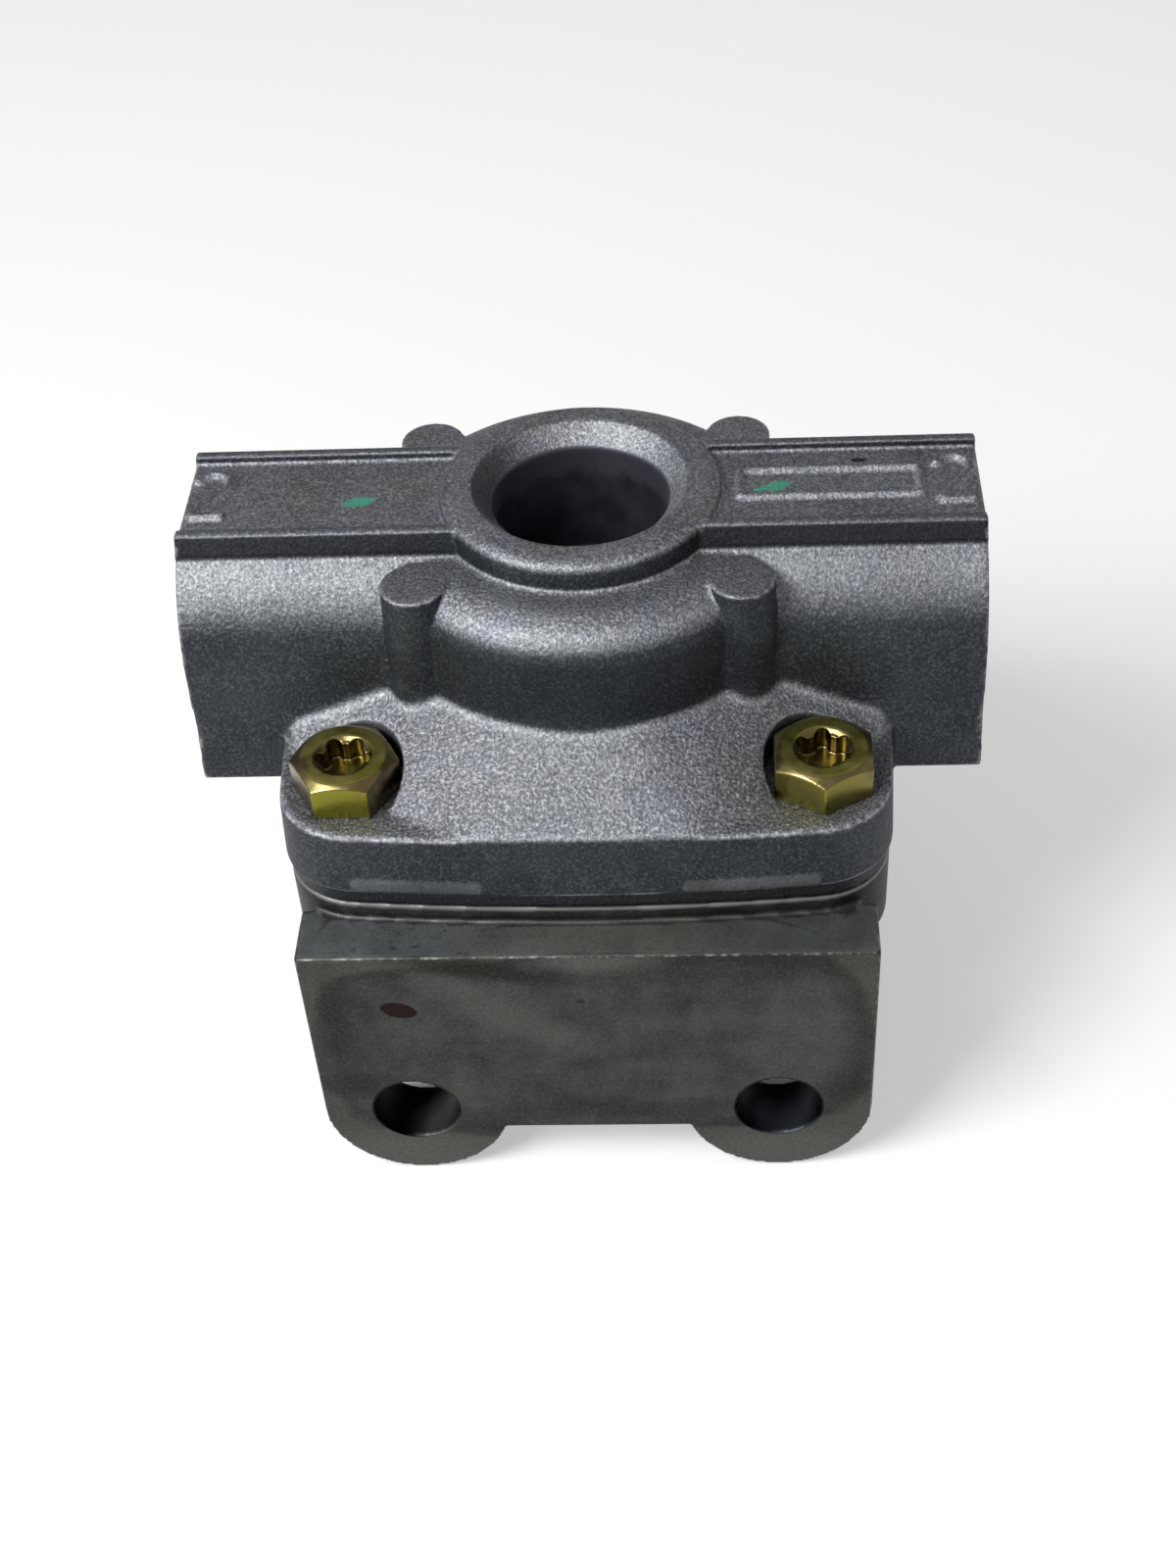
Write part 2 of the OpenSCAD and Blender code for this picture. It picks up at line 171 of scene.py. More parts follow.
# matt pale board: white to the eye with a soft shadow, clear from below to show the underside
def paleBoard(s):
    paper = bpy.data.materials.new("paleFloorPaper")
    paper.use_nodes = True
    tree = paper.node_tree
    tree.nodes.clear()
    diffuse = addNode(tree, "BsdfDiffuse", {"Color": linear(s["floorColour"])})
    place = addNode(tree, "TexCoord").outputs["Object"]
    gaps = []
    for x in (-holeX, holeX):  # painted shadow: no glow on the floor close behind the bracket lugs
        shade = (x * mm, s["shadeY"] * mm, s["floorZ"] * mm)
        gaps.append(addNode(tree, "VectorMath", {"operation": "DISTANCE", 1: shade}, {0: place}))
    nearest = addNode(tree, "Math", {"operation": "MINIMUM"},
                      {0: gaps[0].outputs["Value"], 1: gaps[1].outputs["Value"]})
    close, clearOf = s["shadeReach"]
    lit = addNode(tree, "MapRange", {
        "interpolation_type": "SMOOTHSTEP", "From Min": close * mm, "From Max": clearOf * mm,
        "To Max": s["floorGlow"]}, {"Value": nearest.outputs[0]})
    glow = addNode(tree, "Emission", {"Color": (1, 1, 1, 1)}, {"Strength": lit.outputs[0]})
    total = addNode(tree, "AddShader", {}, {0: diffuse.outputs[0], 1: glow.outputs[0]})
    both = addNode(tree, "MixShader", {},
                   {0: seenDirectly(tree), 1: diffuse.outputs[0], 2: total.outputs[0]})
    fromBelow = addNode(tree, "NewGeometry").outputs["Backfacing"]
    clear = addNode(tree, "BsdfTransparent")
    oneSided = addNode(tree, "MixShader", {}, {0: fromBelow, 1: both.outputs[0], 2: clear.outputs[0]})
    addNode(tree, "OutputMaterial", {}, {"Surface": oneSided.outputs[0]})
    return paper


def makeStage(s):
    scene = bpy.context.scene
    scene.view_settings.view_transform = "Standard"
    world = bpy.data.worlds.new("studio")
    scene.world = world
    world.use_nodes = True
    tree = world.node_tree
    tree.nodes.clear()
    back = addNode(tree, "Background", {"Color": (1, 1, 1, 1), "Strength": s["fill"]})
    addNode(tree, "OutputWorld", {}, {"Surface": back.outputs[0]})
    half, low = s["floorHalf"] * mm, s["floorZ"] * mm
    floorMesh = bpy.data.meshes.new("floor")
    floorMesh.from_pydata([(-half, -half, low), (half, -half, low), (half, half, low), (-half, half, low)],
                          [], [(0, 1, 2, 3)])
    floor = bpy.data.objects.new("floor", floorMesh)
    scene.collection.objects.link(floor)
    floorMesh.materials.append(paleBoard(s))
    makeKeyLamp(s)


makeStage(stageSet)
print("stage and lamp set")


def blot(tree, place, centre, half, turn=(0, 0, 0), wobble=0.35, grainMm=1.2, soft=0.1, square=0.0):
    # soft oval mark: 1 inside, 0 outside, its edge broken by noise; square above 0 makes it boxier
    local = addNode(tree, "Mapping", {
        "vector_type": "TEXTURE", "Location": [c * mm for c in centre],
        "Rotation": [math.radians(t) for t in turn], "Scale": [h * mm for h in half]}, {"Vector": place})
    away = addNode(tree, "VectorMath", {"operation": "LENGTH"}, {0: local.outputs[0]}).outputs["Value"]
    if square:
        flat = addNode(tree, "VectorMath", {"operation": "ABSOLUTE"}, {0: local.outputs[0]})
        parts = addNode(tree, "SeparateXYZ", {}, {0: flat.outputs[0]})
        most = addNode(tree, "Math", {"operation": "MAXIMUM"}, {0: parts.outputs[0], 1: parts.outputs[2]})
        away = addNode(tree, "Mix", {"data_type": "FLOAT", 0: square},
                       {2: away, 3: most.outputs[0]}).outputs[0]
    noise = addNode(tree, "TexNoise", {"Scale": 1 / (grainMm * mm), "Detail": 6.0, "Roughness": 0.55},
                    {"Vector": place})
    edge = addNode(tree, "Math", {"operation": "MULTIPLY_ADD", 1: wobble}, {0: noise.outputs[0], 2: away})
    middle = 1 + wobble / 2
    return addNode(tree, "MapRange", {"From Min": middle + soft, "From Max": middle - soft},
                   {"Value": edge.outputs[0]}).outputs[0]


def layOver(tree, mask, under, over, share=1.0):  # over, a hex colour or a socket, laid on under by a mask
    if share < 1:
        mask = addNode(tree, "Math", {"operation": "MULTIPLY", 1: share}, {0: mask}).outputs[0]
    settings, links = {"data_type": "RGBA"}, {0: mask, 6: under}
    if isinstance(over, str):
        settings[7] = linear(over)
    else:
        links[7] = over
    return addNode(tree, "Mix", settings, links).outputs[2]


# shot-blasted die-cast aluminium: upright walls painted darker as shade, shoulders and upper faces painted
# paler as light, sandy grain with painted sparkle where light falls
castSet = {
    # wall is painted shade on upright faces; shoulder, skirt and upper are painted light on faces that tilt
    # up, most on the shoulders
    "wall": ("#363A3E", "#43474C"), "shoulder": ("#8C8E92", "#9C9FA3"), "skirt": ("#6F7174", "#7F8185"),
    "upper": ("#6E7073", "#7F8285"), "edge": "#D4D6DA", "nick": "#55575B", "scar": "#7C7E81",
    # recess and the colour after it are painted shade: steep walls, the lip and round the dome
    "grit": "#2A2C2F", "recess": "#212326", "soot": "#1E2125", "seam": "#060607", "blue": "#74788C",
    "bore": ("#474A54", "#6F717C"), "paint": "#237F66", "spot": "#16171B", "roughness": (0.50, 0.62),
    "grainMm": 0.37, "grainDepthMm": 0.24, "waveMm": 3.2, "waveDepthMm": 0.05,
    "toneMm": 9, "tintMm": 6, "nickMm": 0.8, "raggedMm": 4.5, "raggedDepthMm": 6,
    # heights from the joint plane, distances from the valve axis, mm
    "topsZ": 25, "recessZ": (31.9, 32.3), "railZ": (34.1, 34.4), "boreZ": (31.2, 32.6), "seamZ": (0.5, 0.3),
    "partingZ": 2.3, "partingHalf": 0.11, "lipZ": (2.4, 2.1), "besideY": (8.2, 8.6),
    "ringR": 16.6, "boreR": 10.42,
    # marks: centre and half sizes, mm; the dabs of paint also have a turn
    # painted shade round the dome, on the right arm and left of the port's lead-in; painted light on the
    # pocket walls
    "sootMark": ((0, axisY, jointZ + 22), (27.5, 27.5, 10)),
    "armMark": ((34, axisY - 12, jointZ + 27), (15, 8, 8)),
    "pocketMark": ((screwX, screwY, jointZ + 15), (7.7, 7.7, 2.4)),
    "grimeMark": ((-11.5, axisY, jointZ + 33), (4.5, 10.5, 4)),
    "spotMark": ((32.2, axisY + 4.9, jointZ + 34), (0.9, 0.42, 3)),
    "dabs": [((-25.6, axisY - 1.1, jointZ + 34), (2.0, 0.85, 3), 14),
             ((22.7, axisY + 0.1, jointZ + 34), (1.35, 0.95, 3), 30),
             ((20.9, axisY - 0.35, jointZ + 34), (1.1, 0.4, 3), 14)],
}


def castSockets(tree, s):  # what the layers of the body read: place, slope, noises and shared masks
    where = addNode(tree, "TexCoord")
    place = where.outputs["Object"]
    rise = addNode(tree, "SeparateXYZ", {}, {0: where.outputs["Normal"]}).outputs[2]
    slope = addNode(tree, "MapRange",
                    {"interpolation_type": "SMOOTHSTEP", "From Min": 0.24, "From Max": 0.68}, {"Value": rise})
    upright = addNode(tree, "Math", {"operation": "SUBTRACT", 0: 1.0}, {1: slope.outputs[0]})
    parts = addNode(tree, "SeparateXYZ", {}, {0: place})
    height = parts.outputs[2]
    high = addNode(tree, "Math", {"operation": "GREATER_THAN", 1: (jointZ + s["topsZ"]) * mm}, {0: height})
    flat = addNode(tree, "MapRange", {"From Min": 0.86, "From Max": 0.98}, {"Value": rise})
    level = addNode(tree, "Math", {"operation": "MULTIPLY"}, {0: flat.outputs[0], 1: high.outputs[0]})
    across = addNode(tree, "Math", {"operation": "ABSOLUTE"}, {0: parts.outputs[0]})
    off = addNode(tree, "Math", {"operation": "SUBTRACT", 1: axisY * mm}, {0: parts.outputs[1]})
    off = addNode(tree, "Math", {"operation": "ABSOLUTE"}, {0: off.outputs[0]})
    padEdge, wallFoot = s["besideY"]
    beside = addNode(tree, "MapRange", {"From Min": padEdge * mm, "From Max": wallFoot * mm},
                     {"Value": off.outputs[0]})
    ring = blot(tree, place, (0, axisY, 0), (s["ringR"], s["ringR"], through), wobble=0.0, soft=0.01)
    bore = blot(tree, place, (0, axisY, 0), (s["boreR"], s["boreR"], through), wobble=0.0, soft=0.01)
    tone = addNode(tree, "TexNoise", {"Scale": 1 / (s["toneMm"] * mm), "Detail": 5.0, "Roughness": 0.6},
                   {"Vector": place})
    grain = addNode(tree, "TexNoise",
                    {"Scale": 1 / (s["grainMm"] * mm), "Detail": 3.0, "Roughness": 0.7}, {"Vector": place})
    return {"place": place, "rise": rise, "height": height, "ring": ring, "bore": bore,
            "slope": slope.outputs[0], "upright": upright.outputs[0], "level": level.outputs[0],
            "across": across.outputs[0], "off": off.outputs[0], "beside": beside.outputs[0],
            "tone": tone.outputs[0], "grain": grain.outputs[0]}


def castTones(tree, s, at):  # painted shade on upright walls, painted light on shoulders, less on skirt and tops, bluish here and there
    tones = {}
    for name in ("wall", "shoulder", "skirt", "upper"):
        ramp = addNode(tree, "ValToRGB", {}, {0: at["tone"]})
        setRamp(ramp, [(0.35, linear(s[name][0])), (0.65, linear(s[name][1]))])
        tones[name] = ramp.outputs[0]
    flatter = addNode(tree, "MapRange", {"From Min": 0.7, "From Max": 0.84}, {"Value": at["rise"]})
    exposed = layOver(tree, flatter.outputs[0], tones["shoulder"], tones["skirt"])
    exposed = layOver(tree, at["level"], exposed, tones["upper"])
    # painted shade and light by slope: dark on upright walls, pale where faces tilt up
    colour = layOver(tree, at["slope"], tones["wall"], exposed)
    tint = addNode(tree, "TexNoise", {"Scale": 1 / (s["tintMm"] * mm), "Detail": 3.0},
                   {"Vector": at["place"]})
    bluish = addNode(tree, "MapRange", {"From Min": 0.5, "From Max": 0.65}, {"Value": tint.outputs[0]})
    bluish = addNode(tree, "Math", {"operation": "MULTIPLY"}, {0: bluish.outputs[0], 1: at["slope"]})
    return layOver(tree, bluish.outputs[0], colour, s["blue"], 0.35)


def castGrain(tree, s, at, colour):  # painted highlights: bright grains where light falls, fewer on tops; dark grains all over
    spark = addNode(tree, "MapRange", {"From Min": 0.5, "From Max": 0.7}, {"Value": at["grain"]})
    lit = addNode(tree, "MapRange", {"To Min": 0.16}, {"Value": at["slope"]})
    sparkle = addNode(tree, "Math", {"operation": "MULTIPLY"}, {0: spark.outputs[0], 1: lit.outputs[0]})
    calmer = addNode(tree, "MapRange", {"To Min": 1.0, "To Max": 0.6}, {"Value": at["level"]})
    sparkle = addNode(tree, "Math", {"operation": "MULTIPLY"},
                      {0: sparkle.outputs[0], 1: calmer.outputs[0]})
    colour = layOver(tree, sparkle.outputs[0], colour, s["edge"], 0.75)
    grit = addNode(tree, "MapRange", {"From Min": 0.48, "From Max": 0.34}, {"Value": at["grain"]})
    return layOver(tree, grit.outputs[0], colour, s["grit"], 0.5)


def castRecesses(tree, s, at, colour):  # painted shade on the walls of rails and ring and on the lip below the flash, black seam
    # painted shade on steep walls just below the tops of rails and ring
    upTop = addNode(tree, "MapRange", heights(s["recessZ"]), {"Value": at["height"]})
    steep = addNode(tree, "MapRange", {"From Min": 0.62, "From Max": 0.46}, {"Value": at["rise"]})
    recess = addNode(tree, "Math", {"operation": "MULTIPLY"}, {0: upTop.outputs[0], 1: steep.outputs[0]})
    recess = addNode(tree, "Math", {"operation": "MULTIPLY"}, {0: recess.outputs[0], 1: at["beside"]})
    weaker = addNode(tree, "MapRange", {"To Min": 1.0, "To Max": 0.15}, {"Value": at["ring"]})
    recess = addNode(tree, "Math", {"operation": "MULTIPLY"}, {0: recess.outputs[0], 1: weaker.outputs[0]})
    colour = layOver(tree, recess.outputs[0], colour, s["recess"], 0.85)
    # painted shade on the lip below the flash
    lip = addNode(tree, "MapRange", heights(s["lipZ"]), {"Value": at["height"]})
    colour = layOver(tree, lip.outputs[0], colour, s["recess"], 0.45)
    seam = addNode(tree, "MapRange", heights(s["seamZ"]), {"Value": at["height"]})
    return layOver(tree, seam.outputs[0], colour, s["seam"], 0.95)


def castShades(tree, s, at, colour):
    # painted shade on the walls round the dome and its bosses, on the right arm and on the rail tops; painted
    # light on the pocket walls
    # painted shade on the upright walls round the dome and its bosses
    domeShaded = blot(tree, at["place"], *s["sootMark"], wobble=0.0, soft=0.02)
    domeShaded = addNode(tree, "Math", {"operation": "MULTIPLY"}, {0: domeShaded, 1: at["upright"]})
    colour = layOver(tree, domeShaded.outputs[0], colour, s["soot"], 0.3)
    # painted shade dims the right arm where it tilts up
    arm = blot(tree, at["place"], *s["armMark"], wobble=0.6, grainMm=5, soft=0.5)
    arm = addNode(tree, "Math", {"operation": "MULTIPLY"}, {0: arm, 1: at["beside"]})
    arm = addNode(tree, "Math", {"operation": "MULTIPLY"}, {0: arm.outputs[0], 1: at["slope"]})
    colour = layOver(tree, arm.outputs[0], colour, s["wall"][1], 0.22)
    # painted shade on the rail tops
    rails = addNode(tree, "MapRange", heights(s["railZ"]), {"Value": at["height"]})
    offRing = addNode(tree, "Math", {"operation": "SUBTRACT", 0: 1.0}, {1: at["ring"]})
    rails = addNode(tree, "Math", {"operation": "MULTIPLY"}, {0: rails.outputs[0], 1: offRing.outputs[0]})
    colour = layOver(tree, rails.outputs[0], colour, s["wall"][1], 0.4)
    # painted light on the upright walls of the screw pockets
    quarter = addNode(tree, "CombineXYZ", {}, {0: at["across"], 1: at["off"], 2: at["height"]})
    pocket = blot(tree, quarter.outputs[0], *s["pocketMark"], wobble=0.0, soft=0.05)
    pocket = addNode(tree, "Math", {"operation": "MULTIPLY"}, {0: pocket, 1: at["upright"]})
    return layOver(tree, pocket.outputs[0], colour, s["shoulder"][0], 0.85)


def castWear(tree, s, at, colour):  # rubbed and nicked edges, broken flash on the parting line, gate marks
    worn = addNode(tree, "Attribute", {"attribute_name": "edgeWear"}).outputs["Fac"]
    rubbed = addNode(tree, "MapRange", {"From Min": 0.05, "From Max": 0.2, "To Max": 0.7}, {"Value": worn})
    nicks = addNode(tree, "TexNoise", {"Scale": 1 / (s["nickMm"] * mm), "Detail": 3.0, "Roughness": 0.65},
                    {"Vector": at["place"]})
    edgeColour = addNode(tree, "ValToRGB", {}, {0: nicks.outputs[0]})
    setRamp(edgeColour, [(0.42, linear(s["nick"])), (0.6, linear(s["edge"]))])
    colour = layOver(tree, rubbed.outputs[0], colour, edgeColour.outputs[0])
    parting = (jointZ + s["partingZ"]) * mm
    parted = addNode(tree, "Math", {"operation": "COMPARE", 1: parting, 2: s["partingHalf"] * mm},
                     {0: at["height"]})
    flash = addNode(tree, "MapRange", {"From Min": 0.47, "From Max": 0.6}, {"Value": at["tone"]})
    flash = addNode(tree, "Math", {"operation": "MULTIPLY"}, {0: parted.outputs[0], 1: flash.outputs[0]})
    colour = layOver(tree, flash.outputs[0], colour, s["edge"], 0.25)
    scar = addNode(tree, "Attribute", {"attribute_name": "gateScar"}).outputs["Fac"]
    scar = addNode(tree, "Math", {"operation": "MULTIPLY"}, {0: scar, 1: at["tone"]})
    return layOver(tree, scar.outputs[0], colour, s["scar"])


def supplyPort(tree, s, at, colour):
    # painted shade on the left of the lead-in; the machined bore is smooth and dark, with painted light down
    # to an uneven line and in patches
    # painted shade on the left of the chamfer
    chamferShaded = blot(tree, at["place"], *s["grimeMark"], wobble=0.5, grainMm=2, soft=0.5)
    tilted = addNode(tree, "Math", {"operation": "SUBTRACT", 0: 1.0}, {1: at["level"]})
    chamferShaded = addNode(tree, "Math", {"operation": "MULTIPLY"}, {0: chamferShaded, 1: tilted.outputs[0]})
    colour = layOver(tree, chamferShaded.outputs[0], colour, s["wall"][0], 0.75)
    # painted light on the upper bore, down to an uneven line and in patches
    ragged = addNode(tree, "TexNoise", {"Scale": 1 / (s["raggedMm"] * mm), "Detail": 6.0, "Roughness": 0.55},
                     {"Vector": at["place"]})
    uneven = addNode(tree, "Math", {"operation": "MULTIPLY_ADD", 1: s["raggedDepthMm"] * mm},
                     {0: ragged.outputs[0], 2: at["height"]})
    upperWall = addNode(tree, "MapRange", heights(s["boreZ"]), {"Value": uneven.outputs[0]})
    mottled = addNode(tree, "MapRange", {"From Min": 0.38, "From Max": 0.66, "To Max": 0.55},
                      {"Value": ragged.outputs[0]})
    paler = addNode(tree, "Math", {"operation": "MAXIMUM"},
                    {0: upperWall.outputs[0], 1: mottled.outputs[0]})
    dark, pale = (linear(c) for c in s["bore"])
    boreColour = addNode(tree, "Mix", {"data_type": "RGBA", 6: dark, 7: pale}, {0: paler.outputs[0]})
    return layOver(tree, at["bore"], colour, boreColour.outputs[2])


def padMarks(tree, s, at, colour):  # dabs of green inspection paint and a dark spot; gives the bare metal too
    bare = []
    for centre, half, turn in s["dabs"]:
        dab = blot(tree, at["place"], centre, half, (0, 0, turn), wobble=1.1, grainMm=1.3, soft=0.16)
        colour = layOver(tree, dab, colour, s["paint"], 0.92)
        bare.append(addNode(tree, "Math", {"operation": "SUBTRACT", 0: 1.0}, {1: dab}).outputs[0])
    metal = bare[0]
    for more in bare[1:]:
        metal = addNode(tree, "Math", {"operation": "MULTIPLY"}, {0: metal, 1: more}).outputs[0]
    spot = blot(tree, at["place"], *s["spotMark"], wobble=0.3, grainMm=0.6)
    return layOver(tree, spot, colour, s["spot"], 0.85), metal


def blastedCasting(s):
    material, tree, shader = newMaterial("blastedDieCastAluminium")
    at = castSockets(tree, s)
    colour = castTones(tree, s, at)
    for layer in (castGrain, castRecesses, castShades, castWear, supplyPort):
        colour = layer(tree, s, at, colour)
    colour, metal = padMarks(tree, s, at, colour)
    smooth, rough = s["roughness"]
    dull = addNode(tree, "MapRange", {"To Min": smooth, "To Max": rough}, {"Value": at["tone"]})
    wave = addNode(tree, "TexNoise", {"Scale": 1 / (s["waveMm"] * mm), "Detail": 2.0},
                   {"Vector": at["place"]})
    swell = addNode(tree, "Bump", {"Strength": 0.6, "Distance": s["waveDepthMm"] * mm},
                    {"Height": wave.outputs[0]})
    calm = addNode(tree, "MapRange", {"To Min": 0.8, "To Max": 0.08}, {"Value": at["bore"]})
    bump = addNode(tree, "Bump", {"Distance": s["grainDepthMm"] * mm},
                   {"Height": at["grain"], "Normal": swell.outputs[0], "Strength": calm.outputs[0]})
    tree.links.new(colour, shader.inputs["Base Color"])
    tree.links.new(dull.outputs[0], shader.inputs["Roughness"])
    tree.links.new(bump.outputs[0], shader.inputs["Normal"])
    tree.links.new(metal, shader.inputs["Metallic"])
    return material


# smooth die-cast aluminium, stained olive grey by oil and handling, with a tide mark on the bracket face;
# walls painted darker as shade and the ledge paler as painted light
coverSet = {
    # wall and upper are painted shade and painted light by slope
    "wall": ("#323331", "#4A4B48"), "upper": ("#7C8081", "#8D9192"), "pale": "#50524A", "tide": "#232420",
    # next: painted shade for the ledge's corner, the edge gaps and behind the plate, and a painted light for
    # the ledge
    "foot": "#1A1B19", "seam": "#060606", "blunt": "#3B3C39", "side": "#1D1F18", "oil": "#A0A296",
    # rim is a painted highlight; edge is rubbed wear and painted highlight
    "rim": "#B0B2AE", "cloud": "#5B5B58", "rust": "#1F100F", "edge": "#A2A39E", "lug": "#5C5D58",
    # hole is painted shade
    "dust": "#85867F", "pit": "#26292A", "hole": "#050507", "roughness": (0.40, 0.56),
    "grainMm": 0.30, "grainDepthMm": 0.03, "toneMm": 6, "pitMm": 0.55, "speckMm": 0.45, "breakMm": 1.4,
    # depths from the bracket face, heights from the joint plane, mm
    "backY": (6.5, 8.5), "rimZ": (-1.5, -0.8), "seamZ": (-0.4, -0.2), "wornZ": -2, "faceDepth": 0.5,
    # marks: centre and half sizes, mm, some with a turn about Y; the lug mark is there on both sides
    # pits on the ledge, then a patch of painted light on the ledge
    "pitMark": ((-17, 2, jointZ + ledgeZ), (10, 5, 5)), "oilMark": ((3, 3, jointZ + ledgeZ), (15, 6, 3)),
    "stain": {"centre": (0.3, 0, 11.4), "turn": (0, -2.5, 0), "wobble": 0.2, "grainMm": 7, "square": 0.6},
    "stainHalf": (33.4, 0.6, 16.4), "tideHalf": (31.6, 0.6, 15.0),
    "biteMark": ((1.6, 0, 26.6), (6.5, 0.6, 2.6)), "lugMark": ((23.5, 0, -8.6), (11, 0.6, 4)),
    "spotMark": ((-1.0, 0, 19.6), (0.5, 0.8, 0.4)),
    "rustMark": ((-22.4, 0, 18.4), (2.2, 0.8, 1.3), (0, 16, 0)),
    "streaks": [
        ((-10, 0, 17.5), (11, 0.6, 2.8), 33, "cloud", 0.5), ((11, 0, 8), (5, 0.6, 2.4), 0, "cloud", 0.25),
        ((1.6, 0, 26.6), (6, 0.6, 2), 0, "cloud", 0.8), ((-11.5, 0, 25.1), (9, 0.6, 1.5), 11, "tide", 0.9),
        ((16, 0, 24.8), (12, 0.6, 2.6), 0, "tide", 0.4), ((-30, 0, 15), (1.8, 0.6, 8), 0, "tide", 0.6),
        ((-28, 0, 5.3), (5, 0.6, 1.6), 0, "tide", 0.5), ((-14, 0, -2.5), (4, 0.6, 2), 0, "tide", 0.5),
        ((2, 0, -0.3), (12, 0.6, 2), 0, "tide", 0.55), ((30.5, 0, 4.5), (3, 0.6, 3), 0, "tide", 0.5),
        ((25, 0, 13), (6, 0.6, 8), 0, "cloud", 0.25),
    ],
    # bracket holes, painted black inside as shade: centre, place and colour of the painted sheen on the wall
    "holeR": 5.5, "sheenHalf": (3.2, 3.4, 3.2),
    "holes": [(-holeX, (-19.6, 1.6, -4.6), "#55585A"), (holeX, (23.4, 1.6, -4.6), "#454A52")],
}


def coverSockets(tree, s):  # what the layers of the cover read: place, slope, noise and wear
    where = addNode(tree, "TexCoord")
    place = where.outputs["Object"]
    rise = addNode(tree, "SeparateXYZ", {}, {0: where.outputs["Normal"]}).outputs[2]
    slope = addNode(tree, "MapRange", {"From Min": 0.1, "From Max": 0.8}, {"Value": rise})
    parts = addNode(tree, "SeparateXYZ", {}, {0: place})
    tone = addNode(tree, "TexNoise", {"Scale": 1 / (s["toneMm"] * mm), "Detail": 6.0, "Roughness": 0.62},
                   {"Vector": place})
    worn = addNode(tree, "Attribute", {"attribute_name": "edgeWear"})
    return {"place": place, "slope": slope.outputs[0], "depth": parts.outputs[1], "height": parts.outputs[2],
            "tone": tone.outputs[0], "worn": worn.outputs["Fac"]}


def coverTones(tree, s, at):  # painted shade on walls and painted light on the ledge, pits, a paler patch of painted light, painted shade behind the plate
    tones = {}
    for name in ("wall", "upper"):
        ramp = addNode(tree, "ValToRGB", {}, {0: at["tone"]})
        setRamp(ramp, [(0.35, linear(s[name][0])), (0.65, linear(s[name][1]))])
        tones[name] = ramp.outputs[0]
    colour = layOver(tree, at["slope"], tones["wall"], tones["upper"])
    drawn = addNode(tree, "Mapping", {"Scale": (0.45, 1, 1)}, {"Vector": at["place"]})  # longer along X
    pits = addNode(tree, "TexNoise", {"Scale": 1 / (s["pitMm"] * mm), "Detail": 2.0},
                   {"Vector": drawn.outputs[0]})
    pitted = addNode(tree, "MapRange", {"From Min": 0.58, "From Max": 0.68}, {"Value": pits.outputs[0]})
    pitted = addNode(tree, "Math", {"operation": "MULTIPLY"}, {0: pitted.outputs[0], 1: at["slope"]})
    patch = blot(tree, at["place"], *s["pitMark"], wobble=1.2, grainMm=4, soft=0.5)
    pitted = addNode(tree, "Math", {"operation": "MULTIPLY"}, {0: pitted.outputs[0], 1: patch})
    colour = layOver(tree, pitted.outputs[0], colour, s["pit"], 0.6)
    # painted shade on the side walls behind the bracket plate
    near, far = s["backY"]
    back = addNode(tree, "MapRange", {"From Min": near * mm, "From Max": far * mm}, {"Value": at["depth"]})
    shade = addNode(tree, "Math", {"operation": "SUBTRACT", 0: 1.0}, {1: at["slope"]})
    behind = addNode(tree, "Math", {"operation": "MULTIPLY"}, {0: back.outputs[0], 1: shade.outputs[0]})
    colour = layOver(tree, behind.outputs[0], colour, s["side"])
    # painted light: a paler patch on the ledge
    ledgeLit = blot(tree, at["place"], *s["oilMark"], wobble=0.9, grainMm=6, soft=0.5)
    ledgeLit = addNode(tree, "Math", {"operation": "MULTIPLY"}, {0: ledgeLit, 1: at["slope"]})
    return layOver(tree, ledgeLit.outputs[0], colour, s["oil"], 0.6)


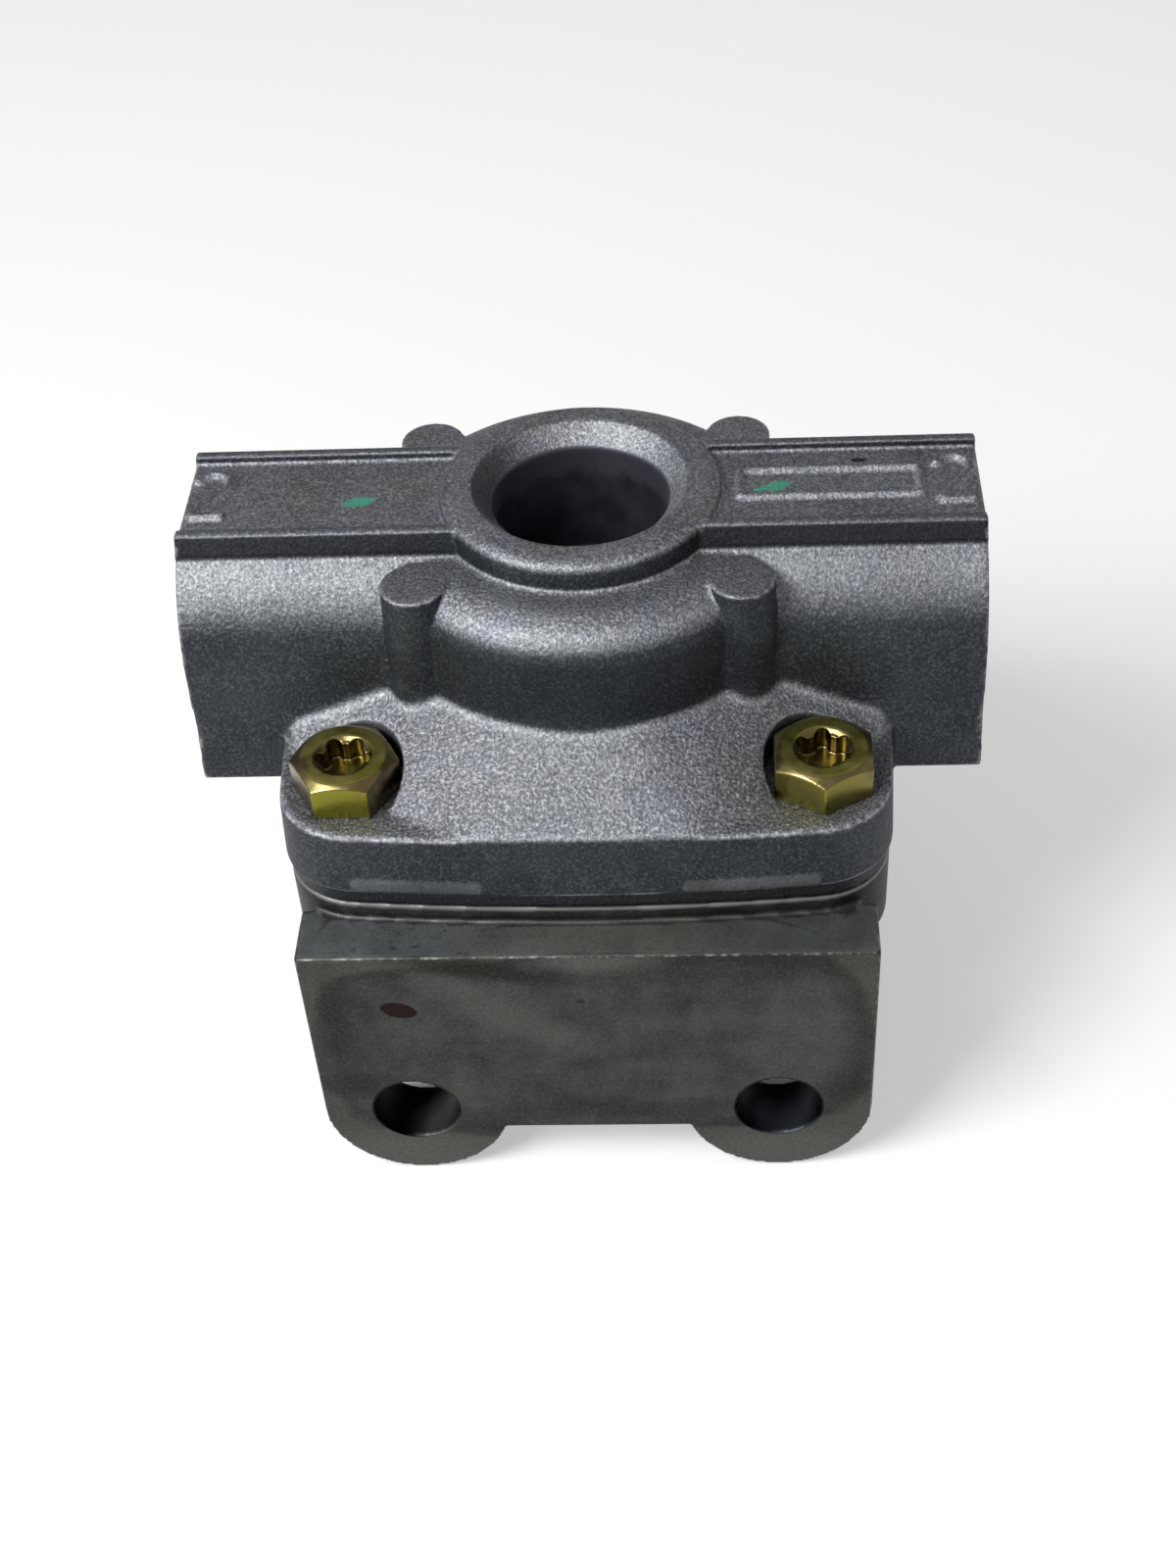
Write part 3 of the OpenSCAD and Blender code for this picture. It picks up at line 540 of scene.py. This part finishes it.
def bracketFace(tree, s, at, colour):
    # a rounded stain with a dark tide line and streaks, paler border and lugs, dust, one rusty oval and a pit
    place = at["place"]
    outer = blot(tree, place, half=s["stainHalf"], soft=0.025, **s["stain"])
    inner = blot(tree, place, half=s["tideHalf"], soft=0.07, **s["stain"])
    bite = blot(tree, place, *s["biteMark"], wobble=0.8, grainMm=3, soft=0.4)
    kept = addNode(tree, "Math", {"operation": "SUBTRACT", 0: 1.0}, {1: bite})
    face = blot(tree, place, (0, 0, 0), (through, s["faceDepth"], through), wobble=0.0, soft=0.2)
    border = addNode(tree, "Math", {"operation": "SUBTRACT"}, {0: face, 1: outer})
    colour = layOver(tree, border.outputs[0], colour, s["pale"], 0.5)
    line = addNode(tree, "Math", {"operation": "SUBTRACT"}, {0: outer, 1: inner})
    line = addNode(tree, "Math", {"operation": "MULTIPLY"}, {0: line.outputs[0], 1: kept.outputs[0]})
    colour = layOver(tree, line.outputs[0], colour, s["tide"], 0.6)
    for centre, half, turn, name, share in s["streaks"]:
        streak = blot(tree, place, centre, half, (0, turn, 0), wobble=1.2, grainMm=2.6, soft=0.45)
        colour = layOver(tree, streak, colour, s[name], share)
    (lugX, lugY, lugZ), half = s["lugMark"]
    for x in (-lugX, lugX):
        lug = blot(tree, place, (x, lugY, lugZ), half, wobble=0.9, grainMm=3, soft=0.4)
        colour = layOver(tree, lug, colour, s["lug"], 0.6)
    speck = addNode(tree, "TexNoise",
                    {"Scale": 1 / (s["speckMm"] * mm), "Detail": 4.0, "Roughness": 0.75}, {"Vector": place})
    dusty = addNode(tree, "MapRange", {"From Min": 0.5, "From Max": 0.7}, {"Value": speck.outputs[0]})
    colour = layOver(tree, dusty.outputs[0], colour, s["dust"], 0.16)
    dark = addNode(tree, "MapRange", {"From Min": 0.5, "From Max": 0.3}, {"Value": speck.outputs[0]})
    colour = layOver(tree, dark.outputs[0], colour, s["tide"], 0.4)
    rust = blot(tree, place, *s["rustMark"], wobble=0.4, grainMm=1.6, soft=0.06)
    colour = layOver(tree, rust, colour, s["rust"], 0.95)
    spot = blot(tree, place, *s["spotMark"], wobble=0.3, grainMm=0.6, soft=0.3)
    return layOver(tree, spot, colour, s["pit"], 0.8)


def coverEdges(tree, s, at, colour):  # painted shade in the ledge's corner, painted highlight on the rim, black seam, rubbed edges with painted highlight and shade
    # painted shade in the corner of ledge and rim
    cornerShade = addNode(tree, "MapRange", {"From Min": -0.02, "From Max": -0.07, "To Max": 0.8},
                   {"Value": at["worn"]})
    colour = layOver(tree, cornerShade.outputs[0], colour, s["foot"])
    # painted highlight along the rim of the cover
    glint = addNode(tree, "MapRange", heights(s["rimZ"]), {"Value": at["height"]})
    glint = addNode(tree, "Math", {"operation": "MULTIPLY"}, {0: glint.outputs[0], 1: at["slope"]})
    colour = layOver(tree, glint.outputs[0], colour, s["rim"], 0.9)
    seam = addNode(tree, "MapRange", heights(s["seamZ"]), {"Value": at["height"]})
    colour = layOver(tree, seam.outputs[0], colour, s["seam"], 0.95)
    # rubbed edges, with bright dashes as painted highlight and painted shade between them
    rubbed = addNode(tree, "MapRange", {"From Min": 0.06, "From Max": 0.16, "To Max": 0.85},
                     {"Value": at["worn"]})
    below = addNode(tree, "Math", {"operation": "LESS_THAN", 1: (jointZ + s["wornZ"]) * mm},
                    {0: at["height"]})
    rubbed = addNode(tree, "Math", {"operation": "MULTIPLY"}, {0: rubbed.outputs[0], 1: below.outputs[0]})
    breaks = addNode(tree, "TexNoise", {"Scale": 1 / (s["breakMm"] * mm), "Detail": 3.0, "Roughness": 0.7},
                     {"Vector": at["place"]})
    edgeColour = addNode(tree, "ValToRGB", {}, {0: breaks.outputs[0]})
    setRamp(edgeColour, [(0.5, linear(s["blunt"])), (0.62, linear(s["edge"]))])
    return layOver(tree, rubbed.outputs[0], colour, edgeColour.outputs[0])


def bracketHoles(tree, s, at, colour):  # black inside as painted shade, with a painted grey sheen low on the wall
    for x, sheenPlace, sheen in s["holes"]:
        hole = blot(tree, at["place"], (x, 0, 0), (s["holeR"], through, s["holeR"]), wobble=0.0, soft=0.02)
        low = blot(tree, at["place"], sheenPlace, s["sheenHalf"], wobble=0.5, grainMm=2, soft=0.5)
        wall = addNode(tree, "Mix", {"data_type": "RGBA", 6: linear(s["hole"]), 7: linear(sheen)}, {0: low})
        colour = layOver(tree, hole, colour, wall.outputs[2])
    return colour


def stainedCasting(s):
    material, tree, shader = newMaterial("stainedDieCastAluminium")
    at = coverSockets(tree, s)
    colour = coverTones(tree, s, at)
    for layer in (bracketFace, coverEdges, bracketHoles):
        colour = layer(tree, s, at, colour)
    grain = addNode(tree, "TexNoise", {"Scale": 1 / (s["grainMm"] * mm), "Detail": 3.0},
                    {"Vector": at["place"]})
    bump = addNode(tree, "Bump", {"Strength": 0.6, "Distance": s["grainDepthMm"] * mm},
                   {"Height": grain.outputs[0]})
    smooth, rough = s["roughness"]
    dull = addNode(tree, "MapRange", {"To Min": smooth, "To Max": rough}, {"Value": at["tone"]})
    tree.links.new(colour, shader.inputs["Base Color"])
    tree.links.new(dull.outputs[0], shader.inputs["Roughness"])
    tree.links.new(bump.outputs[0], shader.inputs["Normal"])
    shader.inputs["Metallic"].default_value = 1.0
    return material


# steel with yellow chromate over zinc: greenish gold, browner and purplish where the film is thicker;
# chamfers and sides are coloured by facing, partly the film's tint and partly painted shade
zincSet = {"pale": "#BDB566", "deep": "#9C9444", "side": "#7C7B25", "plum": "#6E5850", "hole": "#5C5030",
           "toneMm": 2.6, "patchMm": 4.2, "roughness": (0.20, 0.36), "grainMm": 0.25, "grainDepthMm": 0.012}


def yellowZinc(s):
    material, tree, shader = newMaterial("yellowZincSteel")
    where = addNode(tree, "TexCoord")
    place = where.outputs["Object"]
    tone = addNode(tree, "TexNoise", {"Scale": 1 / (s["toneMm"] * mm), "Detail": 4.0}, {"Vector": place})
    gold = addNode(tree, "ValToRGB", {}, {0: tone.outputs[0]})
    setRamp(gold, [(0.38, linear(s["deep"])), (0.62, linear(s["pale"]))])
    facing = addNode(tree, "SeparateXYZ", {}, {0: where.outputs["Normal"]})
    rise = facing.outputs[2]
    # by facing: chamfers plum and upright sides olive, partly the film's tint and partly painted shade
    tilted = addNode(tree, "MapRange", {"From Min": 0.985, "From Max": 0.93}, {"Value": rise})
    colour = layOver(tree, tilted.outputs[0], gold.outputs[0], s["plum"], 0.6)
    upright = addNode(tree, "MapRange", {"From Min": 0.5, "From Max": 0.2}, {"Value": rise})
    colour = layOver(tree, upright.outputs[0], colour, s["side"], 0.85)
    across = addNode(tree, "Math", {"operation": "ABSOLUTE"}, {0: facing.outputs[0]})
    turned = addNode(tree, "MapRange", {"From Min": 0.3, "From Max": 0.75}, {"Value": across.outputs[0]})
    turned = addNode(tree, "Math", {"operation": "MULTIPLY"}, {0: turned.outputs[0], 1: upright.outputs[0]})
    colour = layOver(tree, turned.outputs[0], colour, s["plum"], 0.65)  # side flats facing left and right painted browner as shade
    film = addNode(tree, "TexNoise", {"Scale": 1 / (s["patchMm"] * mm), "Detail": 2.0}, {"Vector": place})
    thick = addNode(tree, "MapRange", {"From Min": 0.56, "From Max": 0.66, "To Max": 0.75},
                    {"Value": film.outputs[0]})
    colour = layOver(tree, thick.outputs[0], colour, s["plum"])
    socket = addNode(tree, "Attribute", {"attribute_name": "socket"}).outputs["Fac"]
    colour = layOver(tree, socket, colour, s["hole"], 0.6)
    smooth, rough = s["roughness"]
    dull = addNode(tree, "MapRange", {"To Min": smooth, "To Max": rough}, {"Value": tone.outputs[0]})
    grain = addNode(tree, "TexNoise", {"Scale": 1 / (s["grainMm"] * mm), "Detail": 2.0}, {"Vector": place})
    bump = addNode(tree, "Bump", {"Strength": 0.5, "Distance": s["grainDepthMm"] * mm},
                   {"Height": grain.outputs[0]})
    tree.links.new(colour, shader.inputs["Base Color"])
    tree.links.new(dull.outputs[0], shader.inputs["Roughness"])
    tree.links.new(bump.outputs[0], shader.inputs["Normal"])
    shader.inputs["Metallic"].default_value = 1.0
    return material


# nitrile rubber from a mould: near black with a dull bloom
rubberSet = {"dark": "#0E0E0F", "light": "#1B1B1C", "toneMm": 2.0, "roughness": 0.6}


def mouldedRubber(s):
    material, tree, shader = newMaterial("mouldedNitrileRubber")
    place = addNode(tree, "TexCoord").outputs["Object"]
    tone = addNode(tree, "TexNoise", {"Scale": 1 / (s["toneMm"] * mm), "Detail": 3.0}, {"Vector": place})
    colour = addNode(tree, "ValToRGB", {}, {0: tone.outputs[0]})
    setRamp(colour, [(0.3, linear(s["dark"])), (0.7, linear(s["light"]))])
    tree.links.new(colour.outputs[0], shader.inputs["Base Color"])
    shader.inputs["Roughness"].default_value = s["roughness"]
    return material


# turned aluminium of the pipe threads: bright crests as painted highlight, grey roots as painted shade
threadSet = {"crest": "#8F9195", "root": "#3B3D40", "toneMm": 1.5, "roughness": 0.34}


def turnedThread(s):
    material, tree, shader = newMaterial("turnedAluminiumThread")
    place = addNode(tree, "TexCoord").outputs["Object"]
    depth = addNode(tree, "Attribute", {"attribute_name": "crest"}).outputs["Fac"]
    noise = addNode(tree, "TexNoise", {"Scale": 1 / (s["toneMm"] * mm), "Detail": 3.0}, {"Vector": place})
    uneven = addNode(tree, "Math", {"operation": "MULTIPLY_ADD", 1: 0.3, 2: -0.15}, {0: noise.outputs[0]})
    share = addNode(tree, "Math", {"operation": "ADD"}, {0: depth, 1: uneven.outputs[0]})
    colour = addNode(tree, "ValToRGB", {}, {0: share.outputs[0]})
    setRamp(colour, [(0.1, linear(s["root"])), (0.85, linear(s["crest"]))])
    tree.links.new(colour.outputs[0], shader.inputs["Base Color"])
    shader.inputs["Metallic"].default_value = 1.0
    shader.inputs["Roughness"].default_value = s["roughness"]
    return material


castMaterial = blastedCasting(castSet)
coverMaterial = stainedCasting(coverSet)
zincMaterial = yellowZinc(zincSet)
rubberMaterial = mouldedRubber(rubberSet)
threadMaterial = turnedThread(threadSet)
print("materials made")

# raised cast marks on the pads: a port number 2 at each end and an empty frame
markSet = {"bead": 0.55, "frameBead": 0.42, "top": 33.7, "numerals": [(-45.0, -3.6), (40.9, -3.4)],
           "numeralSize": (4.0, 4.3), "frame": (18.4, 39.0, -2.1, 3.1)}


def roundBead(path, radius, sides=10):
    # circle carried along a level path: path + radius * (cos a * sideways + sin a * up), ends closed
    ahead = np.gradient(path, axis=0)
    ahead /= np.linalg.norm(ahead, axis=1, keepdims=True)
    sideways = np.stack([-ahead[:, 1], ahead[:, 0], np.zeros(len(path))], 1)
    a = np.linspace(0, 2 * np.pi, sides, endpoint=False)
    ring = np.cos(a)[None, :, None] * sideways[:, None] + np.sin(a)[None, :, None] * np.array([0, 0, 1.0])
    verts = np.concatenate([(path[:, None] + radius * ring).reshape(-1, 3), path[[0, -1]]])
    faces = gridFaces(len(path), sides).tolist()
    k = np.arange(sides)
    last, first = len(verts) - 1, len(verts) - 2
    faces += np.stack([np.full(sides, first), (k + 1) % sides, k], 1).tolist()
    foot = (len(path) - 1) * sides
    faces += np.stack([np.full(sides, last), foot + k, foot + (k + 1) % sides], 1).tolist()
    return verts, faces


def castMarks(s):
    beads = []
    wide, tall = s["numeralSize"]
    a = np.radians(np.linspace(170, -38, 24))
    bow = np.stack([0.5 + 0.5 * np.cos(a), 1.45 + 0.5 * np.sin(a)], 1)  # head of the 2, in units of its size
    stem = np.linspace(bow[-1], (0.02, 0.02), 10)[1:]
    foot = np.linspace((0.0, 0.0), (1.0, 0.0), 8)
    for x, y in s["numerals"]:
        for line in (np.concatenate([bow, stem]), foot):
            path = np.stack([x + line[:, 0] * wide, y + line[:, 1] * tall, np.full(len(line), s["top"])], 1)
            beads.append(roundBead(path, s["bead"]))
    x0, x1, y0, y1 = s["frame"]
    corners = np.array([(x0, y0), (x1, y0), (x1, y1), (x0, y1), (x0, y0)])
    for start, end in zip(corners[:-1], corners[1:]):
        line = np.linspace(start, end, 12)
        beads.append(roundBead(np.column_stack([line, np.full(len(line), s["top"])]), s["frameBead"]))
    return beads


def softCopy(nodeName, pieceName, voxelMm, beads=()):
    # merged copy of a node with its cast marks, to be rebuilt on a fine voxel grid
    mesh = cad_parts[nodeName].data.copy()
    work = bmesh.new()
    work.from_mesh(mesh)
    bmesh.ops.remove_doubles(work, verts=work.verts, dist=1e-6)
    for verts, faces in beads:
        loose = bpy.data.meshes.new("bead")
        loose.from_pydata(((verts + home) * mm).tolist(), [], faces)
        work.from_mesh(loose)
        bpy.data.meshes.remove(loose)
    work.to_mesh(mesh)
    work.free()
    piece = bpy.data.objects.new(pieceName, mesh)
    bpy.context.scene.collection.objects.link(piece)
    remesh = piece.modifiers.new("voxels", "REMESH")
    remesh.mode, remesh.voxel_size, remesh.use_smooth_shade = "VOXEL", voxelMm * mm, True
    return piece


def evaluated(piece):  # bakes the modifiers into the mesh
    baked = bpy.data.meshes.new_from_object(piece.evaluated_get(bpy.context.evaluated_depsgraph_get()))
    piece.modifiers.clear()
    piece.data = baked
    return baked


def triangleCount(mesh):
    return len(mesh.loops) - 2 * len(mesh.polygons)


def thinned(piece, limit):  # brings the mesh down to a number of triangles
    count = triangleCount(piece.data)
    if count > limit:
        thin = piece.modifiers.new("thinned", "DECIMATE")
        thin.ratio = limit / count
        evaluated(piece)
    print(piece.name, "triangles before and after:", count, triangleCount(piece.data))
    return piece.data


def finishMesh(piece, material):
    mesh = piece.data
    mesh.name = piece.name
    mesh.polygons.foreach_set("use_smooth", np.full(len(mesh.polygons), True))
    mesh.materials.clear()
    mesh.materials.append(material)


# castings: the CAD shapes with the soft edges and filled hollows that a die leaves
# places in mm, heights from the joint plane and distances from the valve axis
castingSet = {"crispShare": 0.35, "flangeX": 32, "flangeY": 30, "scarHeight": 0.14, "scarCorner": 0.7,
              "scarBlend": 0.35, "scars": [(-27.0, -11.6, 2.45, 4.2), (11.2, 27.0, 2.4, 4.05)]}
bodyShapeSet = {
    "voxelMm": 0.27, "triangles": 190000,
    "passes": 4, "rimPasses": 40, "portPasses": 60, "pocketPasses": 30, "hollowPasses": 110,
    "ringR": 17.5, "ringZ": 31.6, "padY": 9.3, "padZ": 31.8, "rimZ": (6.5, 14.5),
    "portR": 13.6, "portZ": 32.0, "portY": 9.6, "pocketZ": 12.8, "pocketR": (6.8, 9.5),
    "hollowZ": (12, 21.5), "hollowR": 22.4, "hollowX": 37.5, "landR": 7.6,
    "wornZ": (7.5, 12.6), "wornX": (13, 15, 22), "wornShare": (2.4, 1.2, 2.0),
    "markZ": 33.55, "markR": 17.3, "markShare": 0.35,
}
coverShapeSet = {
    "voxelMm": 0.28, "triangles": 130000, "passes": 4, "rimPasses": 22, "plateY": -33.6, "rimZ": (-1.2, 0.5),
    # from frontZ on: where the painted shade in the corner of ledge and rim lies
    "frontZ": (-1.8, -1), "frontX": 3, "bowR": 300, "dirtX": 31, "dirtDepth": 0.8, "dirtHeight": 0.45,
    "dirtRise": 0.1, "dirtWear": -0.06,
}


def smoothZone(piece, name, weights, passes):  # smooths vertices by their weights, 0 to 1
    group = piece.vertex_groups.new(name=name)
    for weight in np.unique(weights[weights > 0]):
        group.add(np.flatnonzero(weights == weight).tolist(), float(weight), "REPLACE")
    zone = piece.modifiers.new(name, "SMOOTH")
    zone.factor, zone.iterations, zone.vertex_group = 0.5, passes, name


def smoothCommon(piece, crisp, places, s):  # all over, less where the edges stay crisp, then the outer rim
    x, y, z = places.T
    smoothZone(piece, "evened", np.where(crisp, castingSet["crispShare"], 1.0), s["passes"])
    outside = (np.abs(x) > castingSet["flangeX"]) | (np.abs(y) > castingSet["flangeY"])
    smoothZone(piece, "rounded", 1.0 * (outside & between(z, s["rimZ"])), s["rimPasses"])


def smoothBody(piece, s):
    places = coordinates(piece.data)
    x, y, z = places.T
    away, fromScrew = np.hypot(x, y), np.hypot(np.abs(x) - screwX, np.abs(y) - screwY)
    crisp = ((away < s["ringR"]) & (z > s["ringZ"])) | ((np.abs(y) < s["padY"]) & (z > s["padZ"]))
    smoothCommon(piece, crisp, places, s)
    portEdge = (away > s["portR"]) & (z > s["portZ"]) & (np.abs(y) > s["portY"])
    smoothZone(piece, "portRounded", 1.0 * portEdge, s["portPasses"])
    pocketEdge = (z > s["pocketZ"]) & between(fromScrew, s["pocketR"])
    smoothZone(piece, "pocketRounded", 1.0 * pocketEdge, s["pocketPasses"])
    hollow = between(z, s["hollowZ"]) & (away > s["hollowR"]) & (np.abs(x) < s["hollowX"])
    smoothZone(piece, "filled", 1.0 * (hollow & (fromScrew > s["landR"])), s["hollowPasses"])


def smoothCover(piece, s):
    places = coordinates(piece.data)
    smoothCommon(piece, places[:, 1] < s["plateY"], places, s)


def bodyWear(wear, places, s):  # flange edge rubbed more, least where skirt meets land; marks less
    x, y, z = places.T
    flangeEdge = np.interp(np.abs(x), s["wornX"], s["wornShare"])
    raised = (z > s["markZ"]) & (np.hypot(x, y) > s["markR"])
    return wear * np.where(between(z, s["wornZ"]), flangeEdge, np.where(raised, s["markShare"], 1.0))


def coverWear(wear, places, s):  # painted shade in the corner of bracket ledge and bowed rim, as negative wear
    x, y, z = places.T
    front = np.min(y[between(z, s["frontZ"]) & (np.abs(x) < s["frontX"])])
    fromRim = np.abs(y - front - x ** 2 / (2 * s["bowR"]))
    corner = (fromRim < s["dirtDepth"]) & (np.abs(z - ledgeZ - s["dirtRise"]) < s["dirtHeight"])
    return np.where(corner & (np.abs(x) < s["dirtX"]), np.minimum(wear, s["dirtWear"]), wear)


def scarMask(places, scars):
    # 1 on the raw gate patches of the front flange face, with a ragged edge from three sine waves
    x, y, z = places.T
    ragged = 0.07 * np.sin(2.1 * x + 1) + 0.06 * np.sin(5.3 * x) + 0.06 * np.sin(9.7 * x + 2)
    mask = np.zeros(len(x))
    corner = castingSet["scarCorner"]
    for x0, x1, z0, z1 in scars:
        across = np.minimum(x - x0, x1 - x) - 0.1 * (z - z0)
        along = np.minimum(z - z0, z1 + ragged - z)
        inside = corner - np.hypot(np.clip(corner - across, 0, None), np.clip(corner - along, 0, None))
        mask = np.maximum(mask, np.clip(inside / castingSet["scarBlend"] + 0.5, 0, 1))
    return np.where(y < -castingSet["flangeY"], mask, 0)


def convexity(mesh):
    # how far a vertex stands proud of the mean of its neighbours, as a share of the edge length, evened twice
    count = len(mesh.vertices)
    co, normal = np.empty(count * 3), np.empty(count * 3)
    mesh.vertices.foreach_get("co", co)
    mesh.vertices.foreach_get("normal", normal)
    ends = np.empty(len(mesh.edges) * 2, dtype=np.int64)
    mesh.edges.foreach_get("vertices", ends)
    a, b = ends.reshape(-1, 2).T
    both, other = np.concatenate([a, b]), np.concatenate([b, a])
    near = np.maximum(np.bincount(both, minlength=count), 1)

    def around(values):
        return np.bincount(both, weights=values[other], minlength=count) / near

    co, normal = co.reshape(-1, 3), normal.reshape(-1, 3)
    mean = np.stack([around(co[:, k]) for k in range(3)], 1)
    reach = np.tile(np.linalg.norm(co[a] - co[b], axis=1), 2)
    length = np.bincount(both, weights=reach, minlength=count) / near
    proud = np.sum((co - mean) * normal, axis=1) / np.maximum(length, 1e-9)
    for turn in range(2):
        proud = 0.5 * proud + 0.5 * around(proud)
    return proud


def softCasting(nodeName, pieceName, material, s, smooth, wearOf, beads=(), scars=()):
    # copy of the node rebuilt on voxels, evened out, marked where edges are worn, thinned
    piece = softCopy(nodeName, pieceName, s["voxelMm"], beads)
    evaluated(piece)
    smooth(piece, s)
    mesh = evaluated(piece)
    if scars:
        places = coordinates(mesh)
        places[:, 1] -= castingSet["scarHeight"] * scarMask(places, scars)
        setCoordinates(mesh, places)
    wear = wearOf(convexity(mesh), coordinates(mesh), s)
    mesh.attributes.new("edgeWear", "FLOAT", "POINT").data.foreach_set("value", wear)
    mesh = thinned(piece, s["triangles"])
    piece.vertex_groups.clear()
    scar = scarMask(coordinates(mesh), scars)
    mesh.attributes.new("gateScar", "FLOAT", "POINT").data.foreach_set("value", scar)
    finishMesh(piece, material)
    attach(piece, "housing")
    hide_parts(nodeName)


softCasting("body", "bodyCasting", castMaterial, bodyShapeSet, smoothBody, bodyWear,
            castMarks(markSet), castingSet["scars"])
softCasting("cover", "coverCasting", coverMaterial, coverShapeSet, smoothCover,
            coverWear)
print("castings softened")

# pipe threads of the delivery ports
pipeThreadSet = {"faceX": 46.18, "axisZ": 20.4, "radius": 8.27, "ridge": 0.7, "pitch": 1.411, "length": 13.0,
                 "lead": 1.5, "taper": 32, "easedTurns": 1.4, "turnSteps": 72, "pitchSteps": 8}


def pipeThread(name, sign, s):
    # bore wall of radius R - x / taper - ridge * wave(x / pitch + turn); a triangle wave, eased at the mouth
    rows, cols = int(s["length"] / s["pitch"] * s["pitchSteps"]), s["turnSteps"]
    depth = np.linspace(0, s["length"], rows)[:, None]
    turn = np.linspace(0, 1, cols, endpoint=False)[None, :]
    phase = (depth / s["pitch"] + turn) % 1
    wave = np.clip(1.25 * (1 - np.abs(2 * phase - 1)), 0.12, 1.1) - 0.12  # flat roots and crests
    wave = wave / wave.max() * np.clip(depth / (s["easedTurns"] * s["pitch"]), 0, 1)
    radius = s["radius"] - depth / s["taper"] - s["ridge"] * wave
    angle = 2 * np.pi * turn * sign
    x = sign * (s["faceX"] - s["lead"] - depth) + 0 * turn
    verts = np.stack([x, radius * np.cos(angle), s["axisZ"] + radius * np.sin(angle)], 2).reshape(-1, 3)
    faces = gridFaces(rows, cols)
    mesh = bpy.data.meshes.new(name)
    mesh.from_pydata(((verts + home) * mm).tolist(), [], faces.tolist())
    mesh.attributes.new("crest", "FLOAT", "POINT").data.foreach_set("value", wave.ravel())
    middle = mesh.polygons[len(faces) // 2]
    inwards = (home + np.array([0, 0, s["axisZ"]])) * mm - np.array(middle.center)
    if np.dot(inwards[1:], np.array(middle.normal)[1:]) < 0:
        mesh.flip_normals()
    piece = bpy.data.objects.new(name, mesh)
    bpy.context.scene.collection.objects.link(piece)
    finishMesh(piece, threadMaterial)
    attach(piece, "housing")


pipeThread("deliveryThreadRight", 1, pipeThreadSet)
pipeThread("deliveryThreadLeft", -1, pipeThreadSet)
print("pipe threads cut")

# screws: the CAD shape with the edges broken as in forging and plating, dark inside the sockets
screwSet = {"voxelMm": 0.14, "passes": 2, "triangles": 120000, "socketZ": 11.6, "topZ": 14.9, "socketR": 3.4,
            "darkDepth": 0.5}


def capScrews(s):
    piece = softCopy("cap_screws", "capScrews", s["voxelMm"])
    even = piece.modifiers.new("evened", "SMOOTH")
    even.factor, even.iterations = 0.5, s["passes"]
    evaluated(piece)
    mesh = thinned(piece, s["triangles"])
    x, y, z = coordinates(mesh).T
    away = np.hypot(np.abs(x) - screwX, np.abs(y) - screwY)
    inside = np.clip((s["topZ"] - z) / s["darkDepth"], 0, 1) * (away < s["socketR"]) * (z > s["socketZ"])
    mesh.attributes.new("socket", "FLOAT", "POINT").data.foreach_set("value", inside)
    finishMesh(piece, zincMaterial)
    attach(piece, "housing")
    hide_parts("cap_screws")


capScrews(screwSet)
print("screws dressed")

# rubber pieces keep their CAD mesh
for nodeName in ("diaphragm", "seal_ring"):
    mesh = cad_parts[nodeName].data
    mesh.materials.clear()
    mesh.materials.append(rubberMaterial)
print("rubber dressed")
